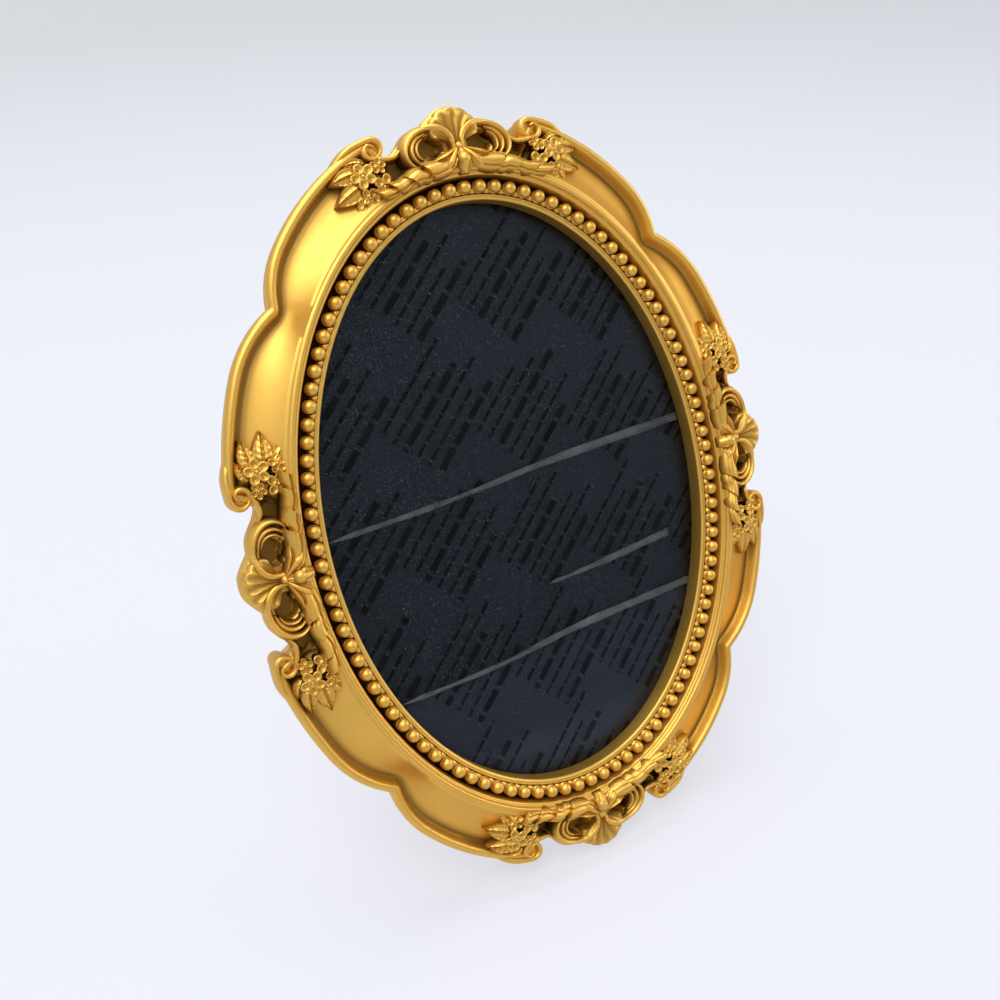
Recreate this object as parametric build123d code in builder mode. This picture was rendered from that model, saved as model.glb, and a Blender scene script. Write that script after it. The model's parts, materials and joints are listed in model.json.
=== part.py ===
from build123d import *
from bisect import bisect_left
from math import atan2, cos, degrees, hypot, radians, sin, sqrt, tan
import os

# Oval carved picture frame that leans back on an easel leg, for a 5 x 7 inch photo.
# The front faces -Y, +Z is up and the frame rests on Z = 0. Sizes are in millimetres and degrees.
# The moulding is drawn on its own leaning face: x runs along the width, y up the face, and heights
# are measured out of the face from the inner edge of the sight opening.

# Sight opening, an ellipse, and the lean of the whole face
opening_width = 120.0
opening_height = 168.6
lean = 25.0

# Stack of layers behind the opening, from the front
shelf_depth = 5.0
film_thickness = 0.1
pane_thickness = 1.5
card_thickness = 0.8
board_thickness = 2.5
rebate_width = 4.0
pane_clearance = 0.5

# Rail section: bezel, bead channel, fillet ridge and sloping panel, as distances out from the opening
bezel_width = 1.5
bezel_height = 0.35
channel_floor = -2.1
channel_width = 4.2
ridge_inset = 7.0
ridge_step = 0.5
ridge_width = 1.3
ridge_height = 3.9
ridge_ledge_height = 2.4
panel_run = 12.5
panel_drop = 6.2
panel_sag = 0.9

# Bead row
bead_count = 104
bead_diameter = 3.6
bead_inset = 3.35
bead_height = 3.7
bead_taper = 14.0
bead_sides = 6

# Scalloped outline: each quarter has an upper and a lower lobe that meet at a cusp. A lobe is an arc
# near the cusp that runs on smoothly into a flatter arc towards its volute. Its centre is set back from
# the side and the top of the opening.
upper_lobe_setback = (27.3, 19.5)
upper_lobe_radius = 27.4
upper_far_radius = 67.3
upper_join_angle = 38.1
lower_lobe_setback = (16.9, 47.1)
lower_lobe_radius = 33.9
lower_far_radius = 104.5
lower_join_angle = 25.0
wall_undercut = 2.4

# Lip along the lobes
lip_height = 1.0
lip_width = 3.4
lip_crest_width = 0.8
lip_round = 1.3
lip_foot = -2.6

# Carved ornament at the middle of each side, as (distance along the border from the middle of the side,
# distance out from the opening) on half an ornament
border_reference = 12.0
shell_tip = (0.0, 24.9)
shell_crown = (2.4, 24.4)
shell_shoulder = (4.8, 22.9)
shell_foot = (7.2, 21.3)
scroll_shoulder = (11.0, 20.4)
scroll_end = (14.6, 18.8)
notch = (19.0, 17.4)
volute_centre = (21.3, 20.8)
volute_radius = 3.1
volute_sides = 10
volute_eye_radius = 1.4
volute_height = 1.7
volute_eye_height = 2.7
bed_height = 1.4
bed_inset = 9.6

pocket_centre = (7.0, 15.4)
pocket_radius = 3.0
pocket_sides = 10
pocket_tip = (2.8, 14.4)
pocket_tip_belly = 0.2
pocket_floor = -2.3
square_pocket = ((14.9, 15.6), (15.4, 12.2), (19.4, 12.2), (19.4, 16.0))
scroll_band = 1.9
scroll_height = 3.3
band_outer = ((14.2, 18.7), (17.0, 17.2), (19.6, 16.9))
band_width = 0.9
band_height = 2.3

# Leaf-like cuts of the carving: where they spring from, their tips, width, where along them they are
# widest, and height
flute_root = (0.0, 12.2)
flute_tips = ((0.0, 24.4), (3.2, 23.5), (6.0, 21.7))
flute_width = 2.7
flute_belly = 0.82
flute_height = 3.4
tuft_root = (0.0, 13.4)
tuft_tips = ((0.0, 7.6), (2.9, 9.0))
tuft_width = 3.2
tuft_belly = 0.6
tuft_height = 5.2
curl_root = (9.6, 12.6)
curl_tips = ((14.9, 12.0), (14.8, 15.2), (13.9, 18.0))
curl_width = 2.6
curl_belly = 0.55
curl_height = 3.7
leaf_root = (26.6, 14.0)
leaf_tips = ((37.0, 15.0), (34.0, 20.0), (34.8, 10.2), (30.4, 7.4))
leaf_width = 5.0
leaf_belly = 0.6
leaf_height = 3.6

swag_joints = (1.6, 8.4, 15.4, 22.4)
swag_gap = 0.5
swag_skew = 1.4
swag_inset = 8.0
swag_width = 3.6
swag_height = 4.9

flower_centres = ((22.6, 12.2), (25.4, 9.3), (23.9, 16.3), (27.0, 13.0), (27.7, 18.6), (30.0, 15.4))
flower_radius = 2.1
flower_petals = 5
flower_height = 4.6

cluster_bed = ((20.4, 13.2), (22.8, 8.6), (28.8, 8.8), (31.6, 12.6), (31.4, 17.6), (27.8, 20.4), (22.6, 18.4))
cluster_height = 2.2
bed_margin = 0.3

carving_taper = 15.0
flower_taper = 20.0

# How far pieces of the casting run into each other, and how far a cut runs past the border
overlap = 0.5
border_overrun = 4.0
seam_tolerance = 0.0001

# Land that the frame stands on, cut off the lowest shell
stand_land = 0.6

# Easel leg and its stamped hinge
leg_open_angle = 40.0
leg_thickness = 2.5
leg_corner_radius = 4.0
leg_top_width = 30.0
leg_foot_width = 40.0
leg_top_gap = 2.3
hinge_along = 38.0
hinge_width = 28.0
hinge_plate_thickness = 0.8
hinge_plate_length = 16.0
hinge_plate_start = 3.0
plate_corner_radius = 2.0
hinge_lift = 0.5
knuckle_radius = 1.6
knuckle_gap = 0.3
pin_radius = 0.8
pin_clearance = 0.05
pin_head_radius = 1.4
pin_head_length = 0.7
pin_end_gap = 0.1
rivet_radius = 1.2
rivet_clearance = 0.05
rivet_head_radius = 2.2
rivet_head_height = 0.8
rivet_head_taper = 40.0
rivet_sides = 12
clinch_radius = 2.0
clinch_sides = 8
clinch_thickness = 0.5
clinch_recess = 0.6
rivet_spacing = 17.0

# Turn buttons that hold the board in, at these angles of the opening's ellipse
button_angles = (0, 50, 130, 180, 230, 310)
button_width = 7.0
button_reach = 12.0
button_thickness = 1.0
button_pivot_inset = 8.6
button_clearance = 0.15
button_corner = 2.0
button_rib_width = 1.0
button_rib_length = 4.0
button_rib_height = 1.2
screw_radius = 1.1
screw_depth = 6.0
screw_clearance = 0.06
screw_head_radius = 2.6
screw_head_height = 1.6
screw_head_taper = 25.0
screw_head_sides = 12

# Wall hangers, one for each way up
top_hanger_along = 72.0
side_hanger_along = 42.0
strap_width = 9.0
strap_length = 12.0
strap_thickness = 0.7
strap_rivet_along = 6.8
ring_wire_radius = 0.7
ring_wire_sides = 8
ring_clearance = 0.08
ring_width = 15.2
ring_length = 10.0
ring_corner = 1.8

# Values that follow from the sizes above
opening_a = opening_width / 2
opening_b = opening_height / 2
upper_lobe_centre = (opening_a - upper_lobe_setback[0], opening_b - upper_lobe_setback[1])
lower_lobe_centre = (opening_a - lower_lobe_setback[0], opening_b - lower_lobe_setback[1])
pane_a = opening_a + rebate_width - pane_clearance
pane_b = opening_b + rebate_width - pane_clearance
pane_front = -shelf_depth - film_thickness
pane_back = pane_front - pane_thickness
card_front = pane_back - film_thickness
board_front = card_front - card_thickness
back_height = board_front - board_thickness
hinge_height = back_height - knuckle_radius - hinge_lift
carving_foot = bed_height - overlap
lean_cos = cos(radians(lean))
lean_sin = sin(radians(lean))

os.makedirs("parts", exist_ok=True)


def opening_offset(angle, out):
    """Point 'out' mm outside the sight opening, where 'angle' is the ellipse's own angle in degrees."""
    across = opening_b * cos(radians(angle))
    up = opening_a * sin(radians(angle))
    slope = hypot(across, up)
    x = opening_a * cos(radians(angle)) + out * across / slope
    y = opening_b * sin(radians(angle)) + out * up / slope
    return x, y


def outward_angle(angle):
    """Direction straight out of the sight opening, in degrees from the x axis."""
    return degrees(atan2(opening_a * sin(radians(angle)), opening_b * cos(radians(angle))))


def length_table(out):
    """Running length of the curve 'out' mm outside the opening at each half degree of the ellipse's angle."""
    lengths = [0.0]
    for step in range(720):
        x0, y0 = opening_offset(step / 2, out)
        x1, y1 = opening_offset((step + 1) / 2, out)
        lengths.append(lengths[-1] + hypot(x1 - x0, y1 - y0))
    return lengths


def angle_at_length(lengths, length):
    """Ellipse angle in degrees at a running length from the x axis."""
    length = length % lengths[-1]
    step = max(1, bisect_left(lengths, length))
    before, after = lengths[step - 1], lengths[step]
    return (step - 1 + (length - before) / (after - before)) / 2


border_lengths = length_table(border_reference)
side_angles = (0, 90, 180, 270)


def on_border(side, along, out):
    """Point 'along' mm along the border from the middle of a side and 'out' mm outside the opening."""
    length = border_lengths[2 * side] + along
    return opening_offset(angle_at_length(border_lengths, length), out)


def leaf_corners(root, tip, width, belly):
    """Corners of a leaf-like cut that is widest at 'belly' of its length."""
    along, out = tip[0] - root[0], tip[1] - root[1]
    half = width / 2 / hypot(along, out)
    middle = (root[0] + belly * along, root[1] + belly * out)
    return (
        root,
        (middle[0] - half * out, middle[1] + half * along),
        tip,
        (middle[0] + half * out, middle[1] - half * along),
    )


def face_centre():
    """Centre of the sight opening, with the frame standing on Z = 0 and its middle depth at Y = 0."""
    reach = opening_b + shell_tip[1]
    rise = (reach - wall_undercut) * lean_cos - back_height * lean_sin - stand_land
    flute = leaf_corners(flute_root, flute_tips[0], flute_width, flute_belly)
    flute_side, flute_tip = [on_border(90, along, out) for along, out in flute[1:3]]
    tip_half_angle = atan2(abs(flute_side[0]), flute_tip[1] - flute_side[1])
    drawn_in = (flute_height - carving_foot) * tan(radians(carving_taper)) / sin(tip_half_angle)
    front = -(opening_b + flute_tips[0][1] - drawn_in) * lean_sin - flute_height * lean_cos
    leg_lean = radians(leg_open_angle - lean)
    leg_back = knuckle_radius - hinge_plate_thickness
    hinge_rise = rise + hinge_along * lean_cos + hinge_height * lean_sin
    leg_run = (hinge_rise + leg_back * sin(leg_lean)) / cos(leg_lean)
    hinge_depth = hinge_along * lean_sin - hinge_height * lean_cos
    foot_depth = hinge_depth + leg_run * sin(leg_lean) + leg_back * cos(leg_lean)
    return (0, -(front + foot_depth) / 2, rise)


face = Plane(origin=face_centre(), x_dir=(1, 0, 0), z_dir=(0, -lean_cos, lean_sin))
mirror_across = Plane(origin=face.origin, x_dir=(0, 1, 0), z_dir=(1, 0, 0))
mirror_up = Plane(origin=face.origin, x_dir=(1, 0, 0), z_dir=face.y_dir)


def far_centre(near_centre, near_radius, far_radius, join_angle):
    """Centre of the flatter arc that runs on from a lobe's near arc without a corner."""
    shift = far_radius - near_radius
    return (
        near_centre[0] - shift * cos(radians(join_angle)),
        near_centre[1] - shift * sin(radians(join_angle)),
    )


def circle_crossing(centre1, radius1, centre2, radius2):
    """The crossing of two circles that lies further from the face's centre."""
    dx, dy = centre2[0] - centre1[0], centre2[1] - centre1[1]
    distance = hypot(dx, dy)
    along = (distance**2 + radius1**2 - radius2**2) / (2 * distance)
    aside = sqrt(radius1**2 - along**2)
    middle = (centre1[0] + along * dx / distance, centre1[1] + along * dy / distance)
    turned = (aside * dy / distance, -aside * dx / distance)
    crossings = [(middle[0] + sign * turned[0], middle[1] + sign * turned[1]) for sign in (1, -1)]
    return max(crossings, key=lambda point: hypot(*point))


def on_circle(centre, radius, angle):
    return (centre[0] + radius * cos(radians(angle)), centre[1] + radius * sin(radians(angle)))


def angle_from(centre, point):
    return degrees(atan2(point[1] - centre[1], point[0] - centre[0]))


upper_far_centre = far_centre(upper_lobe_centre, upper_lobe_radius, upper_far_radius, upper_join_angle)
lower_far_centre = far_centre(lower_lobe_centre, lower_lobe_radius, lower_far_radius, lower_join_angle)
top_volute = on_border(90, -volute_centre[0], volute_centre[1])
side_volute = on_border(0, volute_centre[0], volute_centre[1])
upper_end_angle = angle_from(upper_far_centre, top_volute)
lower_end_angle = angle_from(lower_far_centre, side_volute)


def lobe_points(inset):
    """Corners and mid points of the two lobes of a quarter, 'inset' mm inside the outline."""
    cusp = circle_crossing(
        upper_lobe_centre, upper_lobe_radius - inset, lower_lobe_centre, lower_lobe_radius - inset
    )
    upper_cusp_angle = angle_from(upper_lobe_centre, cusp)
    lower_cusp_angle = angle_from(lower_lobe_centre, cusp)
    upper_far = upper_far_radius - inset
    lower_far = lower_far_radius - inset
    return {
        "upper_end": on_circle(upper_far_centre, upper_far, upper_end_angle),
        "upper_far_mid": on_circle(upper_far_centre, upper_far, (upper_end_angle + upper_join_angle) / 2),
        "upper_join": on_circle(upper_far_centre, upper_far, upper_join_angle),
        "upper_near_mid": on_circle(
            upper_lobe_centre, upper_lobe_radius - inset, (upper_join_angle + upper_cusp_angle) / 2
        ),
        "cusp": cusp,
        "lower_near_mid": on_circle(
            lower_lobe_centre, lower_lobe_radius - inset, (lower_join_angle + lower_cusp_angle) / 2
        ),
        "lower_join": on_circle(lower_far_centre, lower_far, lower_join_angle),
        "lower_far_mid": on_circle(lower_far_centre, lower_far, (lower_end_angle + lower_join_angle) / 2),
        "lower_end": on_circle(lower_far_centre, lower_far, lower_end_angle),
    }


def lobe_arcs(inset):
    """The two lobes of a quarter as arcs, drawn from the top volute to the side volute."""
    at = lobe_points(inset)
    ThreePointArc(at["upper_end"], at["upper_far_mid"], at["upper_join"])
    ThreePointArc(at["upper_join"], at["upper_near_mid"], at["cusp"])
    ThreePointArc(at["cusp"], at["lower_near_mid"], at["lower_join"])
    ThreePointArc(at["lower_join"], at["lower_far_mid"], at["lower_end"])
    return at


def half_ornament(side, turn, inset):
    """Outline points of half an ornament, from the shell's tip to the notch beside the volute."""
    spots = (shell_tip, shell_crown, shell_shoulder, shell_foot, scroll_shoulder, scroll_end, notch)
    return [on_border(side, turn * along, out - inset) for along, out in spots]


def quarter_outline(lobe_inset, ornament_inset):
    """Lines of a quarter of the moulding, closed through the centre, with its border moved inwards."""
    top = half_ornament(90, -1, ornament_inset)
    right = half_ornament(0, 1, ornament_inset)
    Polyline((0, 0), *top)
    at = lobe_arcs(lobe_inset)
    Line(top[-1], at["upper_end"])
    Polyline(at["lower_end"], *reversed(right), (0, 0))


quarter_halves = ((90, -1), (0, 1))


def laid_along(side, turn, spots):
    """Points of one half ornament, turned onto a side of the frame and listed the same way round on both."""
    return [on_border(side, turn * along, out) for along, out in spots[::turn]]


def quarter_places(spot):
    """The same spot of the two half ornaments that a quarter of the frame has."""
    return [on_border(side, turn * spot[0], spot[1]) for side, turn in quarter_halves]


def quarter_polygons(spots):
    """A polygon of the carving on both half ornaments of a quarter."""
    for side, turn in quarter_halves:
        Polygon(*laid_along(side, turn, spots), align=None)


def opening_ellipse(inset):
    """The ellipse 'inset' mm outside the sight opening."""
    Ellipse(opening_a + inset, opening_b + inset)


# One quarter of the moulding: its outer wall and lip
with BuildPart() as outer_body:
    shoulder = lip_height - lip_round
    for height, inset in ((back_height, wall_undercut), (shoulder, 0.0), (lip_height, lip_round)):
        with BuildSketch(face.offset(height)):
            with BuildLine():
                quarter_outline(inset, inset)
            make_face()
    loft(ruled=True)
    for height, inset in ((lip_foot, lip_width), (lip_height + overlap, lip_round + lip_crest_width)):
        with BuildSketch(face.offset(height)):
            with BuildLine():
                quarter_outline(inset, -border_overrun)
            make_face()
    loft(ruled=True, mode=Mode.SUBTRACT)

# Its rail: sloping panel, fillet ridge, bead channel and bezel
ridge_outer = ridge_inset + 2 * ridge_step + ridge_width
channel_outer = bezel_width + channel_width
with BuildPart() as rail:
    for drop, run in ((0, 0), (panel_drop / 2 + panel_sag, panel_run / 2), (panel_drop + overlap, panel_run)):
        with BuildSketch(face.offset(ridge_height - drop)):
            opening_ellipse(ridge_outer + run)
    loft(ruled=True)
    for height, inset in (
        (channel_floor, channel_outer),
        (ridge_ledge_height, ridge_inset - ridge_step),
        (ridge_height + overlap, ridge_inset - ridge_step),
    ):
        with BuildSketch(face.offset(height)):
            opening_ellipse(inset)
    loft(ruled=True, mode=Mode.SUBTRACT)
    step_top = (ridge_height + overlap, ridge_inset + ridge_step)
    for height, inset in ((ridge_ledge_height, ridge_inset), step_top):
        with BuildSketch(face.offset(height)):
            opening_ellipse(inset)
    loft(ruled=True, mode=Mode.SUBTRACT)
    with BuildSketch(face.offset(channel_floor)):
        opening_ellipse(bezel_width)
    extrude(amount=bezel_height - channel_floor)
    with BuildSketch(face.offset(lip_foot - overlap)):
        with BuildLine():
            quarter_outline(lip_width - overlap, overlap)
        make_face()
    extrude(amount=2 * (ridge_height - lip_foot), mode=Mode.INTERSECT)

swag_pieces = [
    (
        (start + swag_gap, swag_inset),
        (end - swag_gap, swag_inset),
        (end - swag_gap + swag_skew, swag_inset + swag_width),
        (start + swag_gap + swag_skew, swag_inset + swag_width),
    )
    for start, end in zip(swag_joints, swag_joints[1:])
]
cuts = [(piece, carving_foot, swag_height) for piece in swag_pieces]
for root, tips, width, belly, foot, height in (
    (flute_root, flute_tips, flute_width, flute_belly, carving_foot, flute_height),
    (tuft_root, tuft_tips, tuft_width, tuft_belly, carving_foot, tuft_height),
    (curl_root, curl_tips, curl_width, curl_belly, carving_foot, curl_height),
    (leaf_root, leaf_tips, leaf_width, leaf_belly, lip_foot, leaf_height),
):
    cuts.extend((leaf_corners(root, tip, width, belly), foot, height) for tip in tips)

# Its carving: two half ornaments
bed_edge = (shell_tip, shell_crown, shell_shoulder, shell_foot, scroll_shoulder, scroll_end, notch)
bed = [(along, out - bed_margin) for along, out in bed_edge] + [(notch[0], bed_inset), (0, bed_inset)]
band = list(band_outer) + [(along, out - band_width) for along, out in reversed(band_outer)]
with BuildPart() as carving:
    for corners, height in ((bed, bed_height), (cluster_bed, cluster_height), (band, band_height)):
        with BuildSketch(face.offset(lip_foot - overlap)):
            quarter_polygons(corners)
        extrude(amount=height - lip_foot + overlap)
    for corners, foot, height in cuts:
        with BuildSketch(face.offset(foot)):
            quarter_polygons(corners)
        extrude(amount=height - foot, taper=carving_taper)
    for spot, radius, sides, foot, height in (
        (pocket_centre, pocket_radius + scroll_band, pocket_sides, lip_foot, scroll_height),
        (volute_centre, volute_radius, volute_sides, back_height + overlap, volute_height),
        (volute_centre, volute_eye_radius, volute_sides // 2, volute_height - overlap, volute_eye_height),
    ):
        with BuildSketch(face.offset(foot)):
            with Locations(*quarter_places(spot)):
                RegularPolygon(radius, sides)
        extrude(amount=height - foot)
    flower_foot = cluster_height - overlap
    for centre in flower_centres:
        with BuildSketch(face.offset(flower_foot)):
            with Locations(*quarter_places(centre)):
                RegularPolygon(flower_radius, flower_petals)
        extrude(amount=flower_height - flower_foot, taper=flower_taper)

bead_lengths = length_table(bead_inset)
bead_spots = [
    opening_offset(angle_at_length(bead_lengths, bead_lengths[-1] * (bead + 0.5) / bead_count), bead_inset)
    for bead in range(bead_count // 4)
]
with BuildPart() as beads:
    with BuildSketch(face.offset(channel_floor - overlap)):
        with Locations(*bead_spots):
            RegularPolygon(bead_diameter / 2, bead_sides)
    extrude(amount=bead_height + overlap, taper=bead_taper)

# The quarters together: carving joined on, then pockets, sight opening, rebate and screw holes cut
with BuildPart() as upper_quarter:
    add(outer_body.part)
    add(rail.part, clean=False)
    add(carving.part, clean=False)
    add(beads.part, clean=False)
    with BuildSketch(face.offset(pocket_floor)):
        with Locations(*quarter_places(pocket_centre)):
            RegularPolygon(pocket_radius, pocket_sides)
        quarter_polygons(leaf_corners(pocket_centre, pocket_tip, 2 * pocket_radius, pocket_tip_belly))
        quarter_polygons(square_pocket)
    extrude(amount=scroll_height - pocket_floor + overlap, mode=Mode.SUBTRACT)
    with BuildSketch(face.offset(back_height)):
        opening_ellipse(0)
    extrude(amount=ridge_height - back_height, mode=Mode.SUBTRACT)
    with BuildSketch(face.offset(back_height)):
        opening_ellipse(rebate_width)
    extrude(amount=-shelf_depth - back_height, mode=Mode.SUBTRACT)
    with BuildSketch(face.offset(back_height)):
        with Locations(*[opening_offset(angle, button_pivot_inset) for angle in button_angles[:2]]):
            RegularPolygon(screw_radius + screw_clearance, screw_head_sides, major_radius=False)
    extrude(amount=screw_depth + screw_clearance, mode=Mode.SUBTRACT)
    with BuildSketch(face.offset(back_height)):
        Rectangle(opening_width, opening_height, align=(Align.MIN, Align.MIN))
    extrude(amount=2 * (ridge_height - back_height), mode=Mode.INTERSECT)
with BuildPart() as lower_quarter:
    mirror(upper_quarter.part, about=mirror_up)
    with BuildSketch(Plane.XY):
        Rectangle(2 * opening_width, 2 * opening_height)
    extrude(amount=-2 * stand_land, mode=Mode.SUBTRACT)


def on_seam(surface):
    """Whether a face of a quarter lies flat on one of the two planes where the quarters meet."""
    middle = surface.center()
    for seam in (mirror_across, mirror_up):
        square = abs(surface.normal_at(middle).dot(seam.z_dir)) > 1 - seam_tolerance
        if square and abs(seam.to_local_coords(middle).Z) < seam_tolerance:
            return True
    return False


# The skins of the four quarters are joined edge to edge into one casting
casting_skin = []
for quarter in (upper_quarter.part, lower_quarter.part):
    for half in (quarter, mirror(quarter, about=mirror_across, mode=Mode.PRIVATE)):
        casting_skin.extend(half.faces().filter_by(on_seam, reverse=True))
with BuildPart() as frame_moulding:
    add(Solid(Shell(casting_skin)).fix())


def save(piece, name):
    """Write a finished piece under its node's name."""
    piece.label = name
    export_step(piece, "parts/" + name + ".step")


save(frame_moulding.part, "frame_moulding")


# Layers behind the opening, all cut to the pane's oval
def pane_oval():
    Ellipse(pane_a, pane_b)


with BuildPart() as front_film:
    with BuildSketch(face.offset(pane_front)):
        pane_oval()
    extrude(amount=film_thickness)
save(front_film.part, "front_film")

with BuildPart() as acrylic_pane:
    with BuildSketch(face.offset(pane_back)):
        pane_oval()
    extrude(amount=pane_thickness)
save(acrylic_pane.part, "acrylic_pane")

with BuildPart() as rear_film:
    with BuildSketch(face.offset(card_front)):
        pane_oval()
    extrude(amount=film_thickness)
save(rear_film.part, "rear_film")

with BuildPart() as backing_card:
    with BuildSketch(face.offset(board_front)):
        pane_oval()
    extrude(amount=card_thickness)
save(backing_card.part, "backing_card")

# Places on the back
rear = -face.z_dir
leg_lean = radians(leg_open_angle - lean)
leg_down = Vector(0, sin(leg_lean), -cos(leg_lean))
leg_rear = Vector(0, cos(leg_lean), sin(leg_lean))
hinge_origin = face.from_local_coords((0, hinge_along, hinge_height))
hinge_section = Plane(origin=hinge_origin, x_dir=face.y_dir, z_dir=(1, 0, 0))
leg_section = Plane(origin=hinge_origin, x_dir=leg_down, z_dir=(1, 0, 0))
leg_plane = Plane(origin=hinge_origin, x_dir=(1, 0, 0), z_dir=leg_rear)
knuckle_length = (hinge_width - 2 * knuckle_gap) / 3
knuckle_pitch = knuckle_length + knuckle_gap
hinge_rivet_along = (hinge_plate_start + hinge_plate_length) / 2
board_rivet_spots = [(sign * rivet_spacing / 2, hinge_along + hinge_rivet_along) for sign in (-1, 1)]
leg_rivet_spots = [(sign * rivet_spacing / 2, hinge_rivet_along) for sign in (-1, 1)]


def back_plane(spot, inner, height=0.0):
    """Plane on the back of the frame at a spot of the face, with x towards 'inner' and z out of the back."""
    towards = face.from_local_coords((inner[0], inner[1], 0)) - face.origin
    return Plane(
        origin=face.from_local_coords((spot[0], spot[1], back_height - height)), x_dir=towards, z_dir=rear
    )


top_hanger = back_plane((0, top_hanger_along), (0, -1))
side_hanger = back_plane((-side_hanger_along, 0), (1, 0))
hanger_rivet_spots = [(0, top_hanger_along - strap_rivet_along), (strap_rivet_along - side_hanger_along, 0)]


with BuildPart() as back_board:
    with BuildSketch(face.offset(back_height)):
        pane_oval()
    extrude(amount=board_thickness)
    with BuildSketch(face.offset(back_height)):
        with Locations(*board_rivet_spots, *hanger_rivet_spots):
            RegularPolygon(rivet_radius + rivet_clearance, rivet_sides)
    extrude(amount=board_thickness, mode=Mode.SUBTRACT)
    with BuildSketch(face.offset(board_front - clinch_recess)):
        with Locations(*board_rivet_spots, *hanger_rivet_spots):
            RegularPolygon(clinch_radius + rivet_clearance, clinch_sides)
    extrude(amount=clinch_recess, mode=Mode.SUBTRACT)
save(back_board.part, "back_board")

# Easel leg: a board that tapers towards its hinge, cut to stand flat
leg_back = knuckle_radius - hinge_plate_thickness
leg_length = 2 * hinge_along + opening_height
with BuildPart() as easel_leg:
    with BuildSketch(leg_plane.offset(leg_back - leg_thickness)):
        foot_at = hinge_origin.Z / cos(leg_lean)
        flare = (leg_foot_width - leg_top_width) / 2 / (foot_at - leg_top_gap)
        spread = leg_top_width / 2 + flare * (leg_length - leg_top_gap)
        Polygon(
            (-leg_top_width / 2, leg_top_gap),
            (leg_top_width / 2, leg_top_gap),
            (spread, leg_length),
            (-spread, leg_length),
            align=None,
        )
    extrude(amount=leg_thickness)
    fillet(easel_leg.edges().filter_by(Axis(hinge_origin, leg_rear)).sort_by(Axis.Z)[-2:], leg_corner_radius)
    split(bisect_by=Plane.XY, keep=Keep.TOP)
    with BuildSketch(leg_plane.offset(leg_back - leg_thickness)):
        with Locations(*leg_rivet_spots):
            RegularPolygon(rivet_radius + rivet_clearance, rivet_sides)
    extrude(amount=leg_thickness, mode=Mode.SUBTRACT)
    with BuildSketch(leg_plane.offset(leg_back - leg_thickness)):
        with Locations(*leg_rivet_spots):
            RegularPolygon(clinch_radius + rivet_clearance, clinch_sides)
    extrude(amount=clinch_recess, mode=Mode.SUBTRACT)
save(easel_leg.part, "easel_leg")


# Easel hinge: a stamped leaf on the board with two knuckles, one on the leg with the knuckle between
with BuildPart() as board_hinge_plate:
    with BuildSketch(back_plane((0, hinge_along), (1, 0))):
        with Locations((0, -hinge_plate_start)):
            Rectangle(hinge_width, hinge_plate_length - hinge_plate_start, align=(Align.CENTER, Align.MAX))
        with Locations(*[(x, hinge_along - y) for x, y in board_rivet_spots]):
            RegularPolygon(rivet_radius + rivet_clearance, rivet_sides, mode=Mode.SUBTRACT)
    extrude(amount=hinge_plate_thickness)
    upright_edges = board_hinge_plate.edges().filter_by(Axis(hinge_origin, rear))
    fillet(upright_edges.sort_by(Axis.Z)[-2:], plate_corner_radius)
    for middle in (-knuckle_pitch, knuckle_pitch):
        with BuildSketch(hinge_section.offset(middle)):
            Circle(knuckle_radius)
            with Locations((0, back_height - hinge_height)):
                Rectangle(hinge_plate_start, hinge_plate_thickness, align=(Align.MIN, Align.MAX))
            Circle(pin_radius + pin_clearance, mode=Mode.SUBTRACT)
        extrude(amount=knuckle_length / 2, both=True)
save(board_hinge_plate.part, "board_hinge_plate")

with BuildPart() as leg_hinge_plate:
    with BuildSketch(leg_plane.offset(leg_back)):
        with Locations((0, hinge_plate_start)):
            Rectangle(hinge_width, hinge_plate_length - hinge_plate_start, align=(Align.CENTER, Align.MIN))
        with Locations(*leg_rivet_spots):
            RegularPolygon(rivet_radius + rivet_clearance, rivet_sides, mode=Mode.SUBTRACT)
    extrude(amount=hinge_plate_thickness)
    leg_plate_edges = leg_hinge_plate.edges().filter_by(Axis(hinge_origin, leg_rear))
    fillet(leg_plate_edges.sort_by(Axis.Z)[:2], plate_corner_radius)
    with BuildSketch(leg_section):
        Circle(knuckle_radius)
        with Locations((0, leg_back)):
            Rectangle(hinge_plate_start, hinge_plate_thickness, align=(Align.MIN, Align.MIN))
        Circle(pin_radius + pin_clearance, mode=Mode.SUBTRACT)
    extrude(amount=knuckle_length / 2, both=True)
save(leg_hinge_plate.part, "leg_hinge_plate")

with BuildPart() as hinge_pin:
    with BuildSketch(hinge_section):
        Circle(pin_radius)
    extrude(amount=hinge_width / 2 + pin_end_gap, both=True)
    for sign in (-1, 1):
        with BuildSketch(hinge_section.offset(sign * (hinge_width / 2 + pin_end_gap))):
            RegularPolygon(pin_head_radius, rivet_sides)
        extrude(amount=sign * pin_head_length)
save(hinge_pin.part, "hinge_pin")


def make_rivets(seats, grip, name):
    """Rivets with their heads on the seat planes and their ends clinched 'grip' mm further in."""
    with BuildPart() as rivets:
        for seat in seats:
            with BuildSketch(seat):
                RegularPolygon(rivet_head_radius, rivet_sides)
            extrude(amount=rivet_head_height, taper=rivet_head_taper)
            with BuildSketch(seat):
                RegularPolygon(rivet_radius, rivet_sides)
            extrude(amount=-grip - clinch_thickness)
            with BuildSketch(seat.offset(-grip)):
                RegularPolygon(clinch_radius, clinch_sides)
            extrude(amount=-clinch_thickness)
    save(rivets.part, name)


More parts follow.
